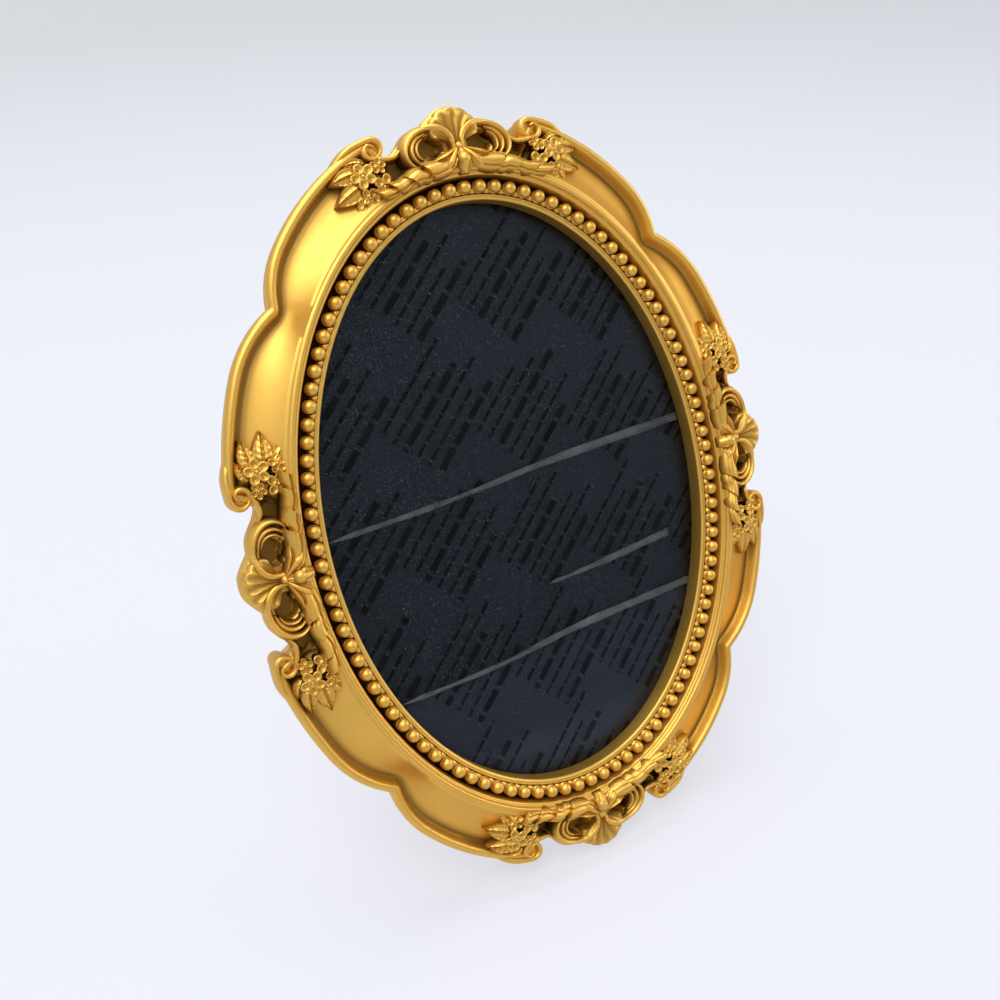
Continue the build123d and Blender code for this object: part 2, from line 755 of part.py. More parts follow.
make_rivets(
    [back_plane(spot, (1, 0), hinge_plate_thickness) for spot in board_rivet_spots],
    hinge_plate_thickness + board_thickness - clinch_recess,
    "board_rivets",
)
make_rivets(
    [back_plane(spot, (1, 0), strap_thickness) for spot in hanger_rivet_spots],
    strap_thickness + board_thickness - clinch_recess,
    "hanger_rivets",
)
make_rivets(
    [
        Plane(origin=leg_plane.from_local_coords((x, y, knuckle_radius)), x_dir=(1, 0, 0), z_dir=leg_rear)
        for x, y in leg_rivet_spots
    ],
    hinge_plate_thickness + leg_thickness - clinch_recess,
    "leg_rivets",
)


# Turn buttons, each with a finger rib near its free end, and the screws that they turn on
def button_plane(angle):
    inward = radians(outward_angle(angle) + 180)
    return back_plane(opening_offset(angle, button_pivot_inset), (cos(inward), sin(inward)), button_clearance)


for number, angle in enumerate(button_angles, start=1):
    with BuildPart() as turn_button:
        plate_run = button_reach - button_width / 2
        with BuildSketch(button_plane(angle)) as button_blank:
            with Locations((plate_run / 2, 0)):
                Rectangle(plate_run + button_width, button_width)
            chamfer(button_blank.vertices(), button_corner)
            Circle(screw_radius + screw_clearance, mode=Mode.SUBTRACT)
        extrude(amount=button_thickness)
        with BuildSketch(button_plane(angle).offset(button_thickness)):
            with Locations((plate_run, 0)):
                Rectangle(button_rib_width, button_rib_length)
        extrude(amount=button_rib_height)
    save(turn_button.part, f"turn_button_{number}")

with BuildPart() as turn_button_screws:
    for angle in button_angles:
        seat = button_plane(angle).offset(button_thickness + button_clearance)
        with BuildSketch(seat):
            RegularPolygon(screw_head_radius, screw_head_sides)
        extrude(amount=screw_head_height, taper=screw_head_taper)
        with BuildSketch(seat):
            Circle(screw_radius)
        extrude(amount=-screw_depth - button_thickness - 2 * button_clearance)
save(turn_button_screws.part, "turn_button_screws")

# Wall hangers: a strap with a rolled end, and a wire ring that swings in it
tube_bore = ring_wire_radius + ring_clearance
tube_radius = tube_bore + strap_thickness


def make_hanger(plane, hang, name):
    """Strap on its plane, running along x, and its ring hanging in direction 'hang' from the rolled end."""
    with BuildPart() as strap:
        with BuildSketch(plane):
            Rectangle(strap_length, strap_width, align=(Align.MIN, Align.CENTER))
            with Locations((strap_rivet_along, 0)):
                RegularPolygon(rivet_radius + rivet_clearance, rivet_sides, mode=Mode.SUBTRACT)
        extrude(amount=strap_thickness)
        with BuildSketch(Plane(origin=plane.origin, x_dir=plane.x_dir, z_dir=-plane.y_dir)):
            with Locations((0, tube_radius)):
                Circle(tube_radius)
        extrude(amount=strap_width / 2, both=True)
        with BuildSketch(Plane(origin=plane.origin, x_dir=plane.x_dir, z_dir=-plane.y_dir)):
            with Locations((0, tube_radius)):
                Circle(tube_bore)
        extrude(amount=strap_width / 2, both=True, mode=Mode.SUBTRACT)
    save(strap.part, name + "_strap")
    tube_centre = plane.offset(tube_radius).origin
    ring_plane = Plane(origin=tube_centre, x_dir=plane.y_dir, z_dir=plane.y_dir.cross(hang))
    with BuildPart() as ring:
        with BuildLine(ring_plane) as half_loop:
            Polyline(
                (0, 0),
                (ring_width / 2 - ring_corner, 0),
                (ring_width / 2, ring_corner),
                (ring_width / 2, ring_length - ring_corner),
                (ring_width / 2 - ring_corner, ring_length),
                (0, ring_length),
            )
        with BuildSketch(Plane(origin=tube_centre, x_dir=hang, z_dir=plane.y_dir)):
            RegularPolygon(ring_wire_radius, ring_wire_sides)
        sweep(path=half_loop.line, transition=Transition.RIGHT)
        mirror(about=Plane(origin=tube_centre, x_dir=hang, z_dir=plane.y_dir))
    save(ring.part, name + "_ring")


make_hanger(top_hanger, Vector(0, 0, -1), "top_hanger")
make_hanger(side_hanger, rear, "side_hanger")
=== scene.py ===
import json
import math

import bmesh
import bpy
import numpy as np
from mathutils import Matrix, Vector, kdtree


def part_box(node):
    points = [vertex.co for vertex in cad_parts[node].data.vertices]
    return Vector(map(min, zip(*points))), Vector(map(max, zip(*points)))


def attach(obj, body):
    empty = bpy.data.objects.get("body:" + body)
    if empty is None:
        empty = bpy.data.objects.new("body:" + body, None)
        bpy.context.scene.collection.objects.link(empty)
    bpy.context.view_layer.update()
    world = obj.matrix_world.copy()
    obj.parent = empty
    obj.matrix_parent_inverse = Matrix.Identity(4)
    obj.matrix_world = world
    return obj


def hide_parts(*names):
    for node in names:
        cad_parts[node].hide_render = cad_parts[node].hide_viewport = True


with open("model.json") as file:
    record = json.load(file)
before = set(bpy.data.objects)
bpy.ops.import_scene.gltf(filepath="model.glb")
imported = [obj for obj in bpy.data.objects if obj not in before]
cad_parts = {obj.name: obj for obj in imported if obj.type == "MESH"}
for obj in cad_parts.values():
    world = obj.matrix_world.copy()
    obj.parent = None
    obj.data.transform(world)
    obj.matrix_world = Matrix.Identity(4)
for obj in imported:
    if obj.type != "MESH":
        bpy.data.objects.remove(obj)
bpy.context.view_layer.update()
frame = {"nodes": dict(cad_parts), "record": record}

bl_info = {
    "name": "Oval Gilt Picture Frame",
    "version": (1, 0, 0),
    "blender": (4, 5, 0),
    "location": "3D View > Sidebar > Frame",
    "description": "Makes the carved gilt moulding, bead row, window and back of an oval picture frame",
    "category": "Object",
}

# Lengths below are in millimetres on the frame's own leaning face: 'along' runs round the border from
# the middle of a side, 'out' is the distance out from the sight opening and 'height' stands out of
# the face. MM turns them into metres.
MM = 0.001
SIDE_NAMES = ("right", "top", "left", "bottom")
PANE_MIDDLE = -5.85
PANE_FRONT = -5.0
REAR_FILM_FRONT = -6.63
BACK_HEIGHT = -10.0
REBATE_WIDTH = 4.0
BORDER_REFERENCE = 12.0
BORDER_LEAST = 10.0
TABLE_STEPS = 2880
RIGHT = np.array((1.0, 0.0, 0.0))


def length_setting(name, description, default):
    return bpy.props.FloatProperty(name=name, description=description, default=default, unit="LENGTH")


def colour_setting(name, description, default):
    return bpy.props.FloatVectorProperty(
        name=name, description=description, default=default, subtype="COLOR", size=3
    )


class FrameSettings(bpy.types.PropertyGroup):
    """Sizes of the frame."""

    opening_width: length_setting("Opening width", "Width of the sight opening", 0.12)
    opening_height: length_setting("Opening height", "Height of the sight opening", 0.1686)
    lean: bpy.props.FloatProperty(
        name="Lean", description="How far the face leans back", default=math.radians(25.0), subtype="ANGLE"
    )
    bead_count: bpy.props.IntProperty(
        name="Beads", description="Number of beads round the opening", default=104, min=8
    )
    bead_diameter: length_setting("Bead diameter", "Width of one bead", 0.0037)


class FrameColours(bpy.types.PropertyGroup):
    """Colours of the frame's finishes and its surroundings, in linear light."""

    gold: colour_setting("Gold", "Gold paint in the light", (0.74, 0.44, 0.085))
    # Brown of the painted shade laid into the hollows of the gold
    shade_colour: colour_setting("Shade colour", "Brown wash in the recesses", (0.070, 0.017, 0.002))
    card: colour_setting("Card", "Black card behind the pane", (0.0098, 0.0108, 0.0126))
    flock: colour_setting("Flock", "Flocked board of the back and leg", (0.018, 0.018, 0.02))
    floor: colour_setting("Floor", "Floor under the frame", (0.845, 0.855, 0.925))
    # Painted shade: the far paper of the same sweep, greyer than the floor where less light falls
    shaded_backdrop: colour_setting("Backdrop", "Backdrop far behind the frame", (0.81, 0.83, 0.87))


def lengths_along(points):
    """Length of a path up to each of its points."""
    return np.concatenate([[0], np.cumsum(np.linalg.norm(np.diff(points, axis=0), axis=1))])


def directions(path):
    """The way ahead at each point of a flat path, and the way to its left."""
    travel = np.gradient(path, axis=0)
    travel /= np.linalg.norm(travel, axis=1)[:, None]
    return travel, np.column_stack([-travel[:, 1], travel[:, 0]])


def smooth_path(spots, count):
    """Points on a smooth curve through the spots, evenly spaced along it."""
    spots = np.asarray(spots, float)
    padded = np.vstack([2 * spots[0] - spots[1], spots, 2 * spots[-1] - spots[-2]])
    fine = []
    for before, start, end, after in zip(padded, padded[1:], padded[2:], padded[3:]):
        t = np.linspace(0, 1, 24, endpoint=False)[:, None]
        fine.append(
            0.5
            * (
                2 * start
                + (end - before) * t
                + (2 * before - 5 * start + 4 * end - after) * t**2
                + (3 * start - before - 3 * end + after) * t**3
            )
        )
    fine = np.vstack(fine + [spots[-1:]])
    run = lengths_along(fine)
    at = np.linspace(0, run[-1], count)
    return np.column_stack([np.interp(at, run, column) for column in fine.T])


def smooth_step(low, high, value):
    t = np.clip((value - low) / (high - low), 0, 1)
    return t * t * (3 - 2 * t)


class Face:
    """The frame's leaning face, and the border that runs round its oval opening."""

    def __init__(self, sizes):
        self.a = sizes.opening_width / MM / 2
        self.b = sizes.opening_height / MM / 2
        self.up = np.array((0, math.sin(sizes.lean), math.cos(sizes.lean)))
        self.out = np.array((0, -math.cos(sizes.lean), math.sin(sizes.lean)))
        low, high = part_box("acrylic_pane")
        self.origin = np.array((low + high) / 2) - self.out * PANE_MIDDLE * MM
        self.angles = np.linspace(0, 2 * math.pi, TABLE_STEPS + 1)
        self.lengths = lengths_along(np.column_stack(self.offset(self.angles, BORDER_REFERENCE)))

    def offset(self, angle, out):
        """Point 'out' outside the opening at an angle of the ellipse."""
        across, up = self.b * np.cos(angle), self.a * np.sin(angle)
        slope = np.hypot(across, up)
        return self.a * np.cos(angle) + out * across / slope, self.b * np.sin(angle) + out * up / slope

    def angle_at(self, side, along):
        start = self.lengths[TABLE_STEPS // 4 * side]
        return np.interp((start + along) % self.lengths[-1], self.lengths, self.angles)

    def on_border(self, side, along, out):
        return self.offset(self.angle_at(side, along), out)

    def world(self, u, v, w):
        """Places on the face, in metres in the frame of the whole object."""
        u, v, w = np.broadcast_arrays(u, v, w)
        return self.origin + (u[..., None] * RIGHT + v[..., None] * self.up + w[..., None] * self.out) * MM


def new_object(name, data):
    """An object in the scene, at its origin."""
    made = bpy.data.objects.new(name, data)
    bpy.context.scene.collection.objects.link(made)
    return made


def mark_painted_shade(mesh, values):
    """Stores at each point how much painted shade darkens it."""
    layer = mesh.attributes.new("painted_shade", "FLOAT", "POINT")
    layer.data.foreach_set("value", np.asarray(values, np.float32))


def take_part(piece, body, slot_name, *replaced):
    """Sets the body that a piece rides on and hides the CAD nodes that it stands in for. Its slot name is not
    used.
    """
    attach(piece, body)
    if replaced:
        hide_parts(*replaced)


def add_piece(name, verts, faces, slot_name, *replaced, finish=None, body="frame", painted_shade=None, sharp=None):
    """A mesh piece with its finish, which has its slot's name where none is given."""
    mesh = bpy.data.meshes.new(name)
    mesh.from_pydata([tuple(point) for point in verts], [], faces)
    mesh.update()
    shape = bmesh.new()
    shape.from_mesh(mesh)
    bmesh.ops.recalc_face_normals(shape, faces=shape.faces)
    shape.to_mesh(mesh)
    shape.free()
    mesh.shade_smooth()
    if sharp:
        mesh.set_sharp_from_angle(angle=math.radians(sharp))
    # Painted shade, kept on each point for the gold paint to read
    if painted_shade is not None:
        mark_painted_shade(mesh, painted_shade)
    mesh.materials.append(finishes()[finish or slot_name])
    take_part(new_object(name, mesh), body, slot_name, *replaced)


def ring_faces(rows, columns, wrap_rows=True, wrap_columns=True):
    """Quads of a grid of rows and columns, closed round in either direction."""
    row_count = rows if wrap_rows else rows - 1
    column_count = columns if wrap_columns else columns - 1
    faces = []
    for row in range(row_count):
        below = (row + 1) % rows
        for column in range(column_count):
            beside = (column + 1) % columns
            corners = ((row, column), (row, beside), (below, beside), (below, column))
            faces.append(tuple(across * columns + down for across, down in corners))
    return faces


def tube_faces(rows, columns):
    """Quads of a tube of rows of points, and a face over each of its ends."""
    last = (rows - 1) * columns
    ends = [tuple(range(columns)), tuple(range(last + columns - 1, last - 1, -1))]
    return ring_faces(rows, columns, wrap_rows=False) + ends


# Outline of the moulding: the lobes of a quarter and half an ornament
UPPER_LOBE = ((32.7, 64.8), 27.4, 67.3, 38.1)
LOWER_LOBE = ((43.1, 37.2), 33.9, 104.5, 25.0)
ORNAMENT_EDGE = (
    (0, 24.9), (2.4, 24.5), (4.9, 22.9), (7.2, 21.2), (9.2, 21.0), (11.2, 20.4), (13.4, 19.4), (15.2, 18.3),
    (17.2, 17.5), (18.8, 17.4),
)
VOLUTE_CENTRE = (21.1, 21.0)
VOLUTE_RADIUS = 3.1
OUTLINE_STEPS = 2400


def lobe_end(lobe, place):
    """Far centre of a lobe and the angle on it that faces a place."""
    (x, y), near, far, join = lobe
    turn = math.radians(join)
    centre = (x - (far - near) * math.cos(turn), y - (far - near) * math.sin(turn))
    return centre, math.atan2(place[1] - centre[1], place[0] - centre[0])


def circles_cross(one, two):
    """Crossing of the near circles of two lobes, on the side away from the opening."""
    (x0, y0), r0 = one[0], one[1]
    (x1, y1), r1 = two[0], two[1]
    gap = math.hypot(x1 - x0, y1 - y0)
    run = (gap**2 + r0**2 - r1**2) / (2 * gap)
    rise = math.sqrt(r0**2 - run**2)
    ux, uy = (x1 - x0) / gap, (y1 - y0) / gap
    spots = [(x0 + run * ux + sign * rise * uy, y0 + run * uy - sign * rise * ux) for sign in (1, -1)]
    return max(spots, key=lambda spot: math.hypot(*spot))


def arc(centre, radius, start, end, count):
    turn = np.linspace(start, end, count)
    return np.column_stack([centre[0] + radius * np.cos(turn), centre[1] + radius * np.sin(turn)])


def moulding_outline(face):
    """The whole outline as points about 0.3 mm apart, from the middle of the right side round."""
    edge = smooth_path(ORNAMENT_EDGE, 80)
    right = np.column_stack(face.on_border(0, edge[:, 0], edge[:, 1]))
    top = np.column_stack(face.on_border(1, -edge[:, 0], edge[:, 1]))
    cusp = circles_cross(UPPER_LOBE, LOWER_LOBE)
    parts = [right]
    for lobe, volute, rising in (
        (LOWER_LOBE, face.on_border(0, *VOLUTE_CENTRE), True),
        (UPPER_LOBE, face.on_border(1, -VOLUTE_CENTRE[0], VOLUTE_CENTRE[1]), False),
    ):
        far_centre, end = lobe_end(lobe, volute)
        join = math.radians(lobe[3])
        cusp_turn = math.atan2(cusp[1] - lobe[0][1], cusp[0] - lobe[0][0])
        pieces = [arc(far_centre, lobe[2], end, join, 70), arc(lobe[0], lobe[1], join, cusp_turn, 130)]
        if not rising:
            pieces = [piece[::-1] for piece in pieces[::-1]]
        parts.extend(pieces)
    parts.append(top[::-1])
    quarter = np.vstack(parts)
    half = np.vstack([quarter, (quarter * (-1, 1))[::-1]])
    whole = np.vstack([half, (half * (1, -1))[::-1]])
    closed = np.vstack([whole, whole[:1]])
    run = lengths_along(closed)
    at = np.linspace(0, run[-1], OUTLINE_STEPS, endpoint=False)
    return np.column_stack([np.interp(at, run, closed[:, 0]), np.interp(at, run, closed[:, 1])])


# Section of the rail from the sight edge to the top of the panel, as (out, height)
RAIL_SECTION = (
    (0.0, -5.0), (0.0, -0.40), (0.08, -0.14), (0.28, 0.06), (0.62, 0.24), (0.92, 0.32), (1.02, 0.22),
    (1.10, 0.22), (1.20, 0.34), (1.38, 0.36), (1.50, 0.22), (1.58, -1.85), (1.75, -2.08), (2.6, -2.1),
    (4.4, -2.1), (5.35, -2.08), (5.6, -1.85), (6.15, 1.75), (6.28, 2.15), (6.5, 2.38), (6.85, 2.42),
    (7.02, 2.5), (7.2, 3.1), (7.36, 3.62), (7.58, 3.86), (7.9, 3.95), (8.35, 3.9), (8.6, 3.72),
    (8.72, 3.55), (8.9, 3.52), (9.3, 3.55),
)
# Section of the lip from its edge inwards, as (distance, height)
LIP_SECTION = (
    (0.0, -0.55), (0.14, 0.0), (0.45, 0.55), (0.9, 0.93), (1.4, 1.1), (1.9, 1.02), (2.35, 0.62), (2.7, -0.1),
    (3.0, -1.05), (3.3, -1.85), (3.7, -2.2), (4.2, -2.18), (4.7, -1.9), (5.2, -1.82),
)
LIP_FOOT, LIP_FOOT_HEIGHT = LIP_SECTION[-1]
PANEL_START, PANEL_TOP = RAIL_SECTION[-1]
PANEL_SAG = 0.75
PANEL_ROWS = 11
BED_HEIGHT = 0.9
BED_EDGE_DROP = 1.3
POCKET_FLOOR = -2.2
POCKET_RIM = 0.86
POCKET = ((4.8, 14.9), (6.4, 15.5), (7.6, 15.2))
POCKET_RADIUS = 3.1
POCKET_TAPER = ((3.5, 7.5), (0.45, 1.0))
SQUARE_POCKET = (17.9, 13.5)
SQUARE_HALF = (2.7, 2.4)
WALL_ROWS = ((0.0, -1.6), (0.12, -3.2), (0.5, -5.4), (1.1, -7.4), (1.8, -9.0), (2.15, -9.7), (2.6, -10.0))
REBATE_ROWS = (
    (REBATE_WIDTH + 0.15, BACK_HEIGHT), (REBATE_WIDTH, BACK_HEIGHT + 0.15), (REBATE_WIDTH, PANE_FRONT)
)
ORNAMENT_REACH = (18.8, 21.5)


def pocket_depth(along, out):
    """How deep a point lies in the two pockets of half an ornament, from 0 outside to 1 inside."""
    near = np.full(along.shape, np.inf)
    for (s0, d0), (s1, d1) in zip(POCKET, POCKET[1:]):
        squared = (s1 - s0) ** 2 + (d1 - d0) ** 2
        t = np.clip(((along - s0) * (s1 - s0) + (out - d0) * (d1 - d0)) / squared, 0, 1)
        near = np.minimum(near, np.hypot(along - s0 - t * (s1 - s0), out - d0 - t * (d1 - d0)))
    rounded = near / (POCKET_RADIUS * np.interp(along, *POCKET_TAPER))
    across = np.abs(along - SQUARE_POCKET[0]) / SQUARE_HALF[0]
    up = np.abs(out - SQUARE_POCKET[1]) / SQUARE_HALF[1]
    return 1 - smooth_step(POCKET_RIM, 1.0, np.minimum(rounded, np.maximum(across, up)))


def border_reach(face, angle, outline):
    """How far the outline lies outside the opening, straight out from each angle of it."""
    base = np.column_stack(face.offset(angle, 0.0))
    rays = np.column_stack(face.offset(angle, 1.0)) - base
    after = np.roll(outline, -1, axis=0)
    reach = []
    for spot, ray in zip(base, rays):
        start, end = outline - spot, after - spot
        side0 = start[:, 0] * ray[1] - start[:, 1] * ray[0]
        side1 = end[:, 0] * ray[1] - end[:, 1] * ray[0]
        cross = (side0 * side1 <= 0) & (side0 != side1)
        share = side0[cross] / (side0[cross] - side1[cross])
        distance = (start[cross] + share[:, None] * (end[cross] - start[cross])) @ ray
        reach.append(distance[distance > BORDER_LEAST].min())
    return np.array(reach)


def moulding_body(face, columns=1040):
    """Points of the moulding without its carving, by row over its section and column round the border."""
    outline = moulding_outline(face)
    tree = kdtree.KDTree(len(outline))
    for index, (u, v) in enumerate(outline):
        tree.insert((u, v, 0), index)
    tree.balance()
    total = face.lengths[-1]
    along = (np.arange(columns) + 0.5) / columns * total
    angle = np.interp(along, face.lengths, face.angles)
    quarter = total / 4
    from_middle = np.abs((along + quarter / 2) % quarter - quarter / 2)
    reach = border_reach(face, angle, outline)
    outs = [np.full(columns, out) for out, _ in RAIL_SECTION]
    heights = [np.full(columns, height) for _, height in RAIL_SECTION]
    shares = np.linspace(0, 1, PANEL_ROWS + 2)[1:-1]
    shaped = [PANEL_START + (reach - LIP_FOOT - PANEL_START) * share for share in shares]
    shaped.extend(reach - edge for edge, _ in reversed(LIP_SECTION))
    zone = 1 - smooth_step(*ORNAMENT_REACH, from_middle)
    for out in shaped:
        u, v = face.offset(angle, out)
        edge = np.array([tree.find((x, y, 0))[2] for x, y in zip(u, v)])
        if out is shaped[-1]:
            edge = np.zeros(columns)
        t = (out - PANEL_START) / np.maximum(out - PANEL_START + np.maximum(edge - LIP_FOOT, 0), 0.01)
        panel = PANEL_TOP + (LIP_FOOT_HEIGHT - PANEL_TOP) * t - PANEL_SAG * 4 * t * (1 - t)
        lobes = np.where(edge < LIP_FOOT, np.interp(edge, *np.array(LIP_SECTION).T), panel)
        bed = BED_HEIGHT - BED_EDGE_DROP * (1 - smooth_step(0.0, 0.9, edge))
        bed = bed + (PANEL_TOP - BED_HEIGHT) * (1 - smooth_step(PANEL_START, PANEL_START + 1.2, out))
        bed = bed + (POCKET_FLOOR - BED_HEIGHT) * pocket_depth(from_middle, out)
        outs.append(out)
        heights.append(zone * bed + (1 - zone) * lobes)
    for inset, height in WALL_ROWS:
        outs.append(reach - inset)
        heights.append(np.full(columns, height))
    for out, height in REBATE_ROWS:
        outs.append(np.full(columns, out))
        heights.append(np.full(columns, height))
    outs, heights = np.array(outs), np.array(heights)
    u, v = face.offset(angle, outs)
    places = face.world(u, v, heights)
    places[..., 2] = np.maximum(places[..., 2], 0.0)
    return places, outs, heights


def moulding_painted_shade(outs, heights):
    """How much painted shade darkens the moulding's body: in the bead channel, in the lip's groove and on the
    inner wall of the sight edge.
    """
    channel = smooth_step(1.45, 1.6, outs) * (1 - smooth_step(5.6, 6.5, outs))
    channel = channel * (1 - smooth_step(-2.0, 1.2, heights)) * smooth_step(-4.0, -3.0, heights)
    low = (1 - smooth_step(-2.3, -1.5, heights)) * smooth_step(9.3, 11.0, outs) * 0.75
    sight = 0.22 * (outs < 0.05) * (heights < -0.3)
    return np.clip(np.maximum(np.maximum(channel, sight), low * smooth_step(-5.0, -1.0, heights)), 0, 1)


DEEP_SKIRT = -2.4
FAN_HEIGHT = ((0, 0.3, 0.65, 0.84, 0.94, 1.0), (3.7, 3.2, 3.2, 3.3, 2.9, 1.3))
FLUTE_DEPTH = ((0, 0.15, 0.7, 0.88, 1), (0, 0.5, 0.8, 0.5, 0.1))
PETAL_ROWS = (
    (0.80, -2.4), (0.97, 0.15), (1.0, 0.5), (0.95, 0.8), (0.82, 0.98), (0.66, 0.88), (0.45, 0.5), (0.2, 0.34)
)


class Relief:
    """Carved pieces of half an ornament, kept as places (along, out, height) until they are laid."""

    def __init__(self):
        # Each point also keeps its painted shade: heavy on skirts and in hollows, light on crowns
        self.points, self.faces, self.painted_shade = [], [], []

    def add(self, points, faces, painted_shade):
        """Takes in one more closed shape."""
        start = len(self.points)
        self.points.extend(points)
        self.faces.extend([tuple(start + index for index in corner) for corner in faces])
        self.painted_shade.extend(painted_shade)

    def strap(self, spots, widths, heights, profile, skirt=-1.2, count=30, undercut=0.0, veins=0.0, skew=0.0):
        """A carved band along a path. Its profile is (across, rise) pairs, across from -1 to 1. Heights are
        (foot, crown) and widths are half widths, spread evenly along the path. 'skew' slants the ends."""
        path = smooth_path(spots, count)
        travel, normal = directions(path)
        share = np.linspace(0, 1, count)
        half = np.interp(share, np.linspace(0, 1, len(widths)), widths)
        foot, crown = (np.interp(share, np.linspace(0, 1, len(heights)), column) for column in zip(*heights))
        ring = [(1 - undercut, None), *profile[::-1], (undercut - 1, None)]
        points, painted_shade = [], []
        for index in range(count):
            for x, rise in ring:
                spot = path[index] + normal[index] * half[index] * x + travel[index] * skew * x
                height = skirt if rise is None else foot[index] + crown[index] * rise
                if rise is not None and 0 < abs(x) < 1:
                    height += veins * math.cos(2 * math.pi * (5.5 * share[index] - 0.9 * abs(x)))
                points.append((spot[0], spot[1], height))
                # Painted shade: heavy on the skirt, lighter towards the band's crown
                painted_shade.append(0.9 if rise is None else 0.75 * (1 - rise) ** 1.5)
        self.add(points, tube_faces(count, len(ring)), painted_shade)

    def turned(self, centre, rows, sides, turn=0.0, stretch=1.0, tilt=(0.0, 0.0)):
        """A turned shape from rows of (radius, height, painted shade), stretched towards 'turn' and tilted.
        """
        points = []
        for radius, height, _ in rows:
            for angle in (2 * math.pi * side / sides for side in range(sides)):
                long, wide = stretch * radius * math.cos(angle), radius * math.sin(angle)
                x = long * math.cos(turn) - wide * math.sin(turn)
                y = long * math.sin(turn) + wide * math.cos(turn)
                points.append((centre[0] + x, centre[1] + y, height + tilt[0] * x + tilt[1] * y))
        self.add(points, tube_faces(len(rows), sides), [row[2] for row in rows for _ in range(sides)])

    def dome(self, centre, radius, foot, height, skirt, rings=6, sides=16, taper=1.0):
        """A round boss, higher in the middle. Its skirt narrows to 'taper' of the radius."""
        # Painted shade: heavy on the skirt, fading towards the top of the boss
        rows = [(radius * taper, skirt, 0.9)]
        for turn in (ring / (rings - 1) * math.pi / 2 for ring in range(rings)):
            rows.append((radius * math.cos(turn), foot + height * math.sin(turn), 0.7 * (1 - math.sin(turn))))
        self.turned(centre, rows, sides)

    def petal(self, centre, radius, turn, foot, tilt):
        """A dished petal, a little longer in the direction that it points."""
        # Painted shade: heavy where the petal lies low, light where it rises
        rows = [
            (radius * share, foot + rise, 0.9 if rise < 0.2 else 0.45 * (1 - rise))
            for share, rise in PETAL_ROWS
        ]
        self.turned(centre, rows, 16, turn, 1.16, tilt)

    def flower(self, centre, radius, foot, turn, tilt):
        """A flower of five dished petals round a small boss."""
        for petal in range(5):
            angle = turn + 2 * math.pi * petal / 5
            x, y = 0.60 * radius * math.cos(angle), 0.60 * radius * math.sin(angle)
            drop = foot + tilt[0] * x + tilt[1] * y + 0.12 * (petal % 2)
            self.petal((centre[0] + x, centre[1] + y), 0.40 * radius, angle, drop, tilt)
        self.dome(centre, radius * 0.23, foot + 0.35, 0.75, foot - 1.0, rings=5, sides=12)

    def fan(self, waist, reach, spread, flutes):
        """A shell of hollow flutes that open out from its waist, with a scalloped and rolled rim."""
        rows, columns = 18, 12 * flutes + 1
        points, painted_shade = [], []
        for row in range(rows + 1):
            share = min(row, rows - 1) / (rows - 1)
            for column in range(columns):
                place = column / (columns - 1)
                turn = math.radians(spread * (2 * place - 1))
                hollow = abs(math.sin(math.pi * flutes * place)) ** 0.8
                length = np.interp(abs(math.degrees(turn)), *np.array(reach).T) * (0.955 + 0.045 * hollow)
                height = np.interp(share, *FAN_HEIGHT) - np.interp(share, *FLUTE_DEPTH) * hollow
                if row == rows:
                    height = DEEP_SKIRT
                x, y = share * length * math.sin(turn), share * length * math.cos(turn)
                points.append((waist[0] + x, waist[1] + y, height))
                # Painted shade in the hollows of the flutes, heaviest towards the waist, and heavy on the
                # skirt
                painted_shade.append(0.9 if row == rows else min(0.8, 0.62 * hollow * (1 - share) + 0.18 * hollow))
        faces = ring_faces(rows + 1, columns, wrap_rows=False, wrap_columns=False)
        start = len(points)
        points.append((*waist, DEEP_SKIRT))
        painted_shade.append(0.9)
        grid = np.arange(start).reshape(rows + 1, columns).tolist()
        for border in (grid[-1][::-1], [row[0] for row in grid], [row[-1] for row in grid][::-1]):
            faces.append((*border, start))
        self.add(points, faces, painted_shade)

    def bare_edges(self):
        """Takes the painted shade off what stands at the open edge of an ornament."""
        edge = np.array(ORNAMENT_EDGE)
        for index, (along, out, _) in enumerate(self.points):
            beyond = out - np.interp(along, edge[:, 0], edge[:, 1])
            self.painted_shade[index] *= 1 - 0.85 * smooth_step(-1.6, -0.4, beyond)
        return self

    def laid(self, face, side, turn):
        """The pieces on one side of the frame, on one half of it."""
        spots = np.array(self.points)
        u, v = face.on_border(side, turn * spots[:, 0], spots[:, 1])
        faces = self.faces if turn > 0 else [corner[::-1] for corner in self.faces]
        return face.world(u, v, spots[:, 2]), faces, self.painted_shade


ROUND_PROFILE = tuple(
    (math.sin(math.radians(angle)), math.cos(math.radians(angle)) ** 0.8)
    for angle in (-90, -68, -46, -23, 0, 23, 46, 68, 90)
)
RIDGE_PROFILE = (
    (-1, 0), (-0.75, 0.35), (-0.45, 0.75), (-0.18, 0.97), (0, 1), (0.18, 0.97), (0.45, 0.75), (0.75, 0.35),
    (1, 0),
)
FOLD_PROFILE = (
    (-1, 0), (-0.92, 0.42), (-0.76, 0.76), (-0.58, 0.86), (-0.40, 0.72), (-0.22, 0.90), (0.04, 1.0),
    (0.28, 0.94), (0.46, 0.78), (0.56, 0.68), (0.70, 0.72), (0.86, 0.46), (1, 0),
)
LEAF_PROFILE = (
    (-1, 0.55), (-0.86, 0.86), (-0.62, 0.72), (-0.42, 0.84), (-0.2, 0.98), (-0.06, 0.62), (0.06, 0.62),
    (0.2, 0.98), (0.42, 0.84), (0.62, 0.72), (0.86, 0.86), (1, 0.55),
)

FAN_WAIST = (0.0, 14.3)
FAN_REACH = ((0, 10.4), (14, 10.2), (30, 9.5), (46, 8.8), (64, 7.2))
SCROLL = (
    (4.6, 12.1), (3.1, 11.2), (1.6, 12.0), (1.1, 14.2), (1.6, 16.8), (3.1, 18.8), (5.4, 19.9), (8.2, 20.4),
)
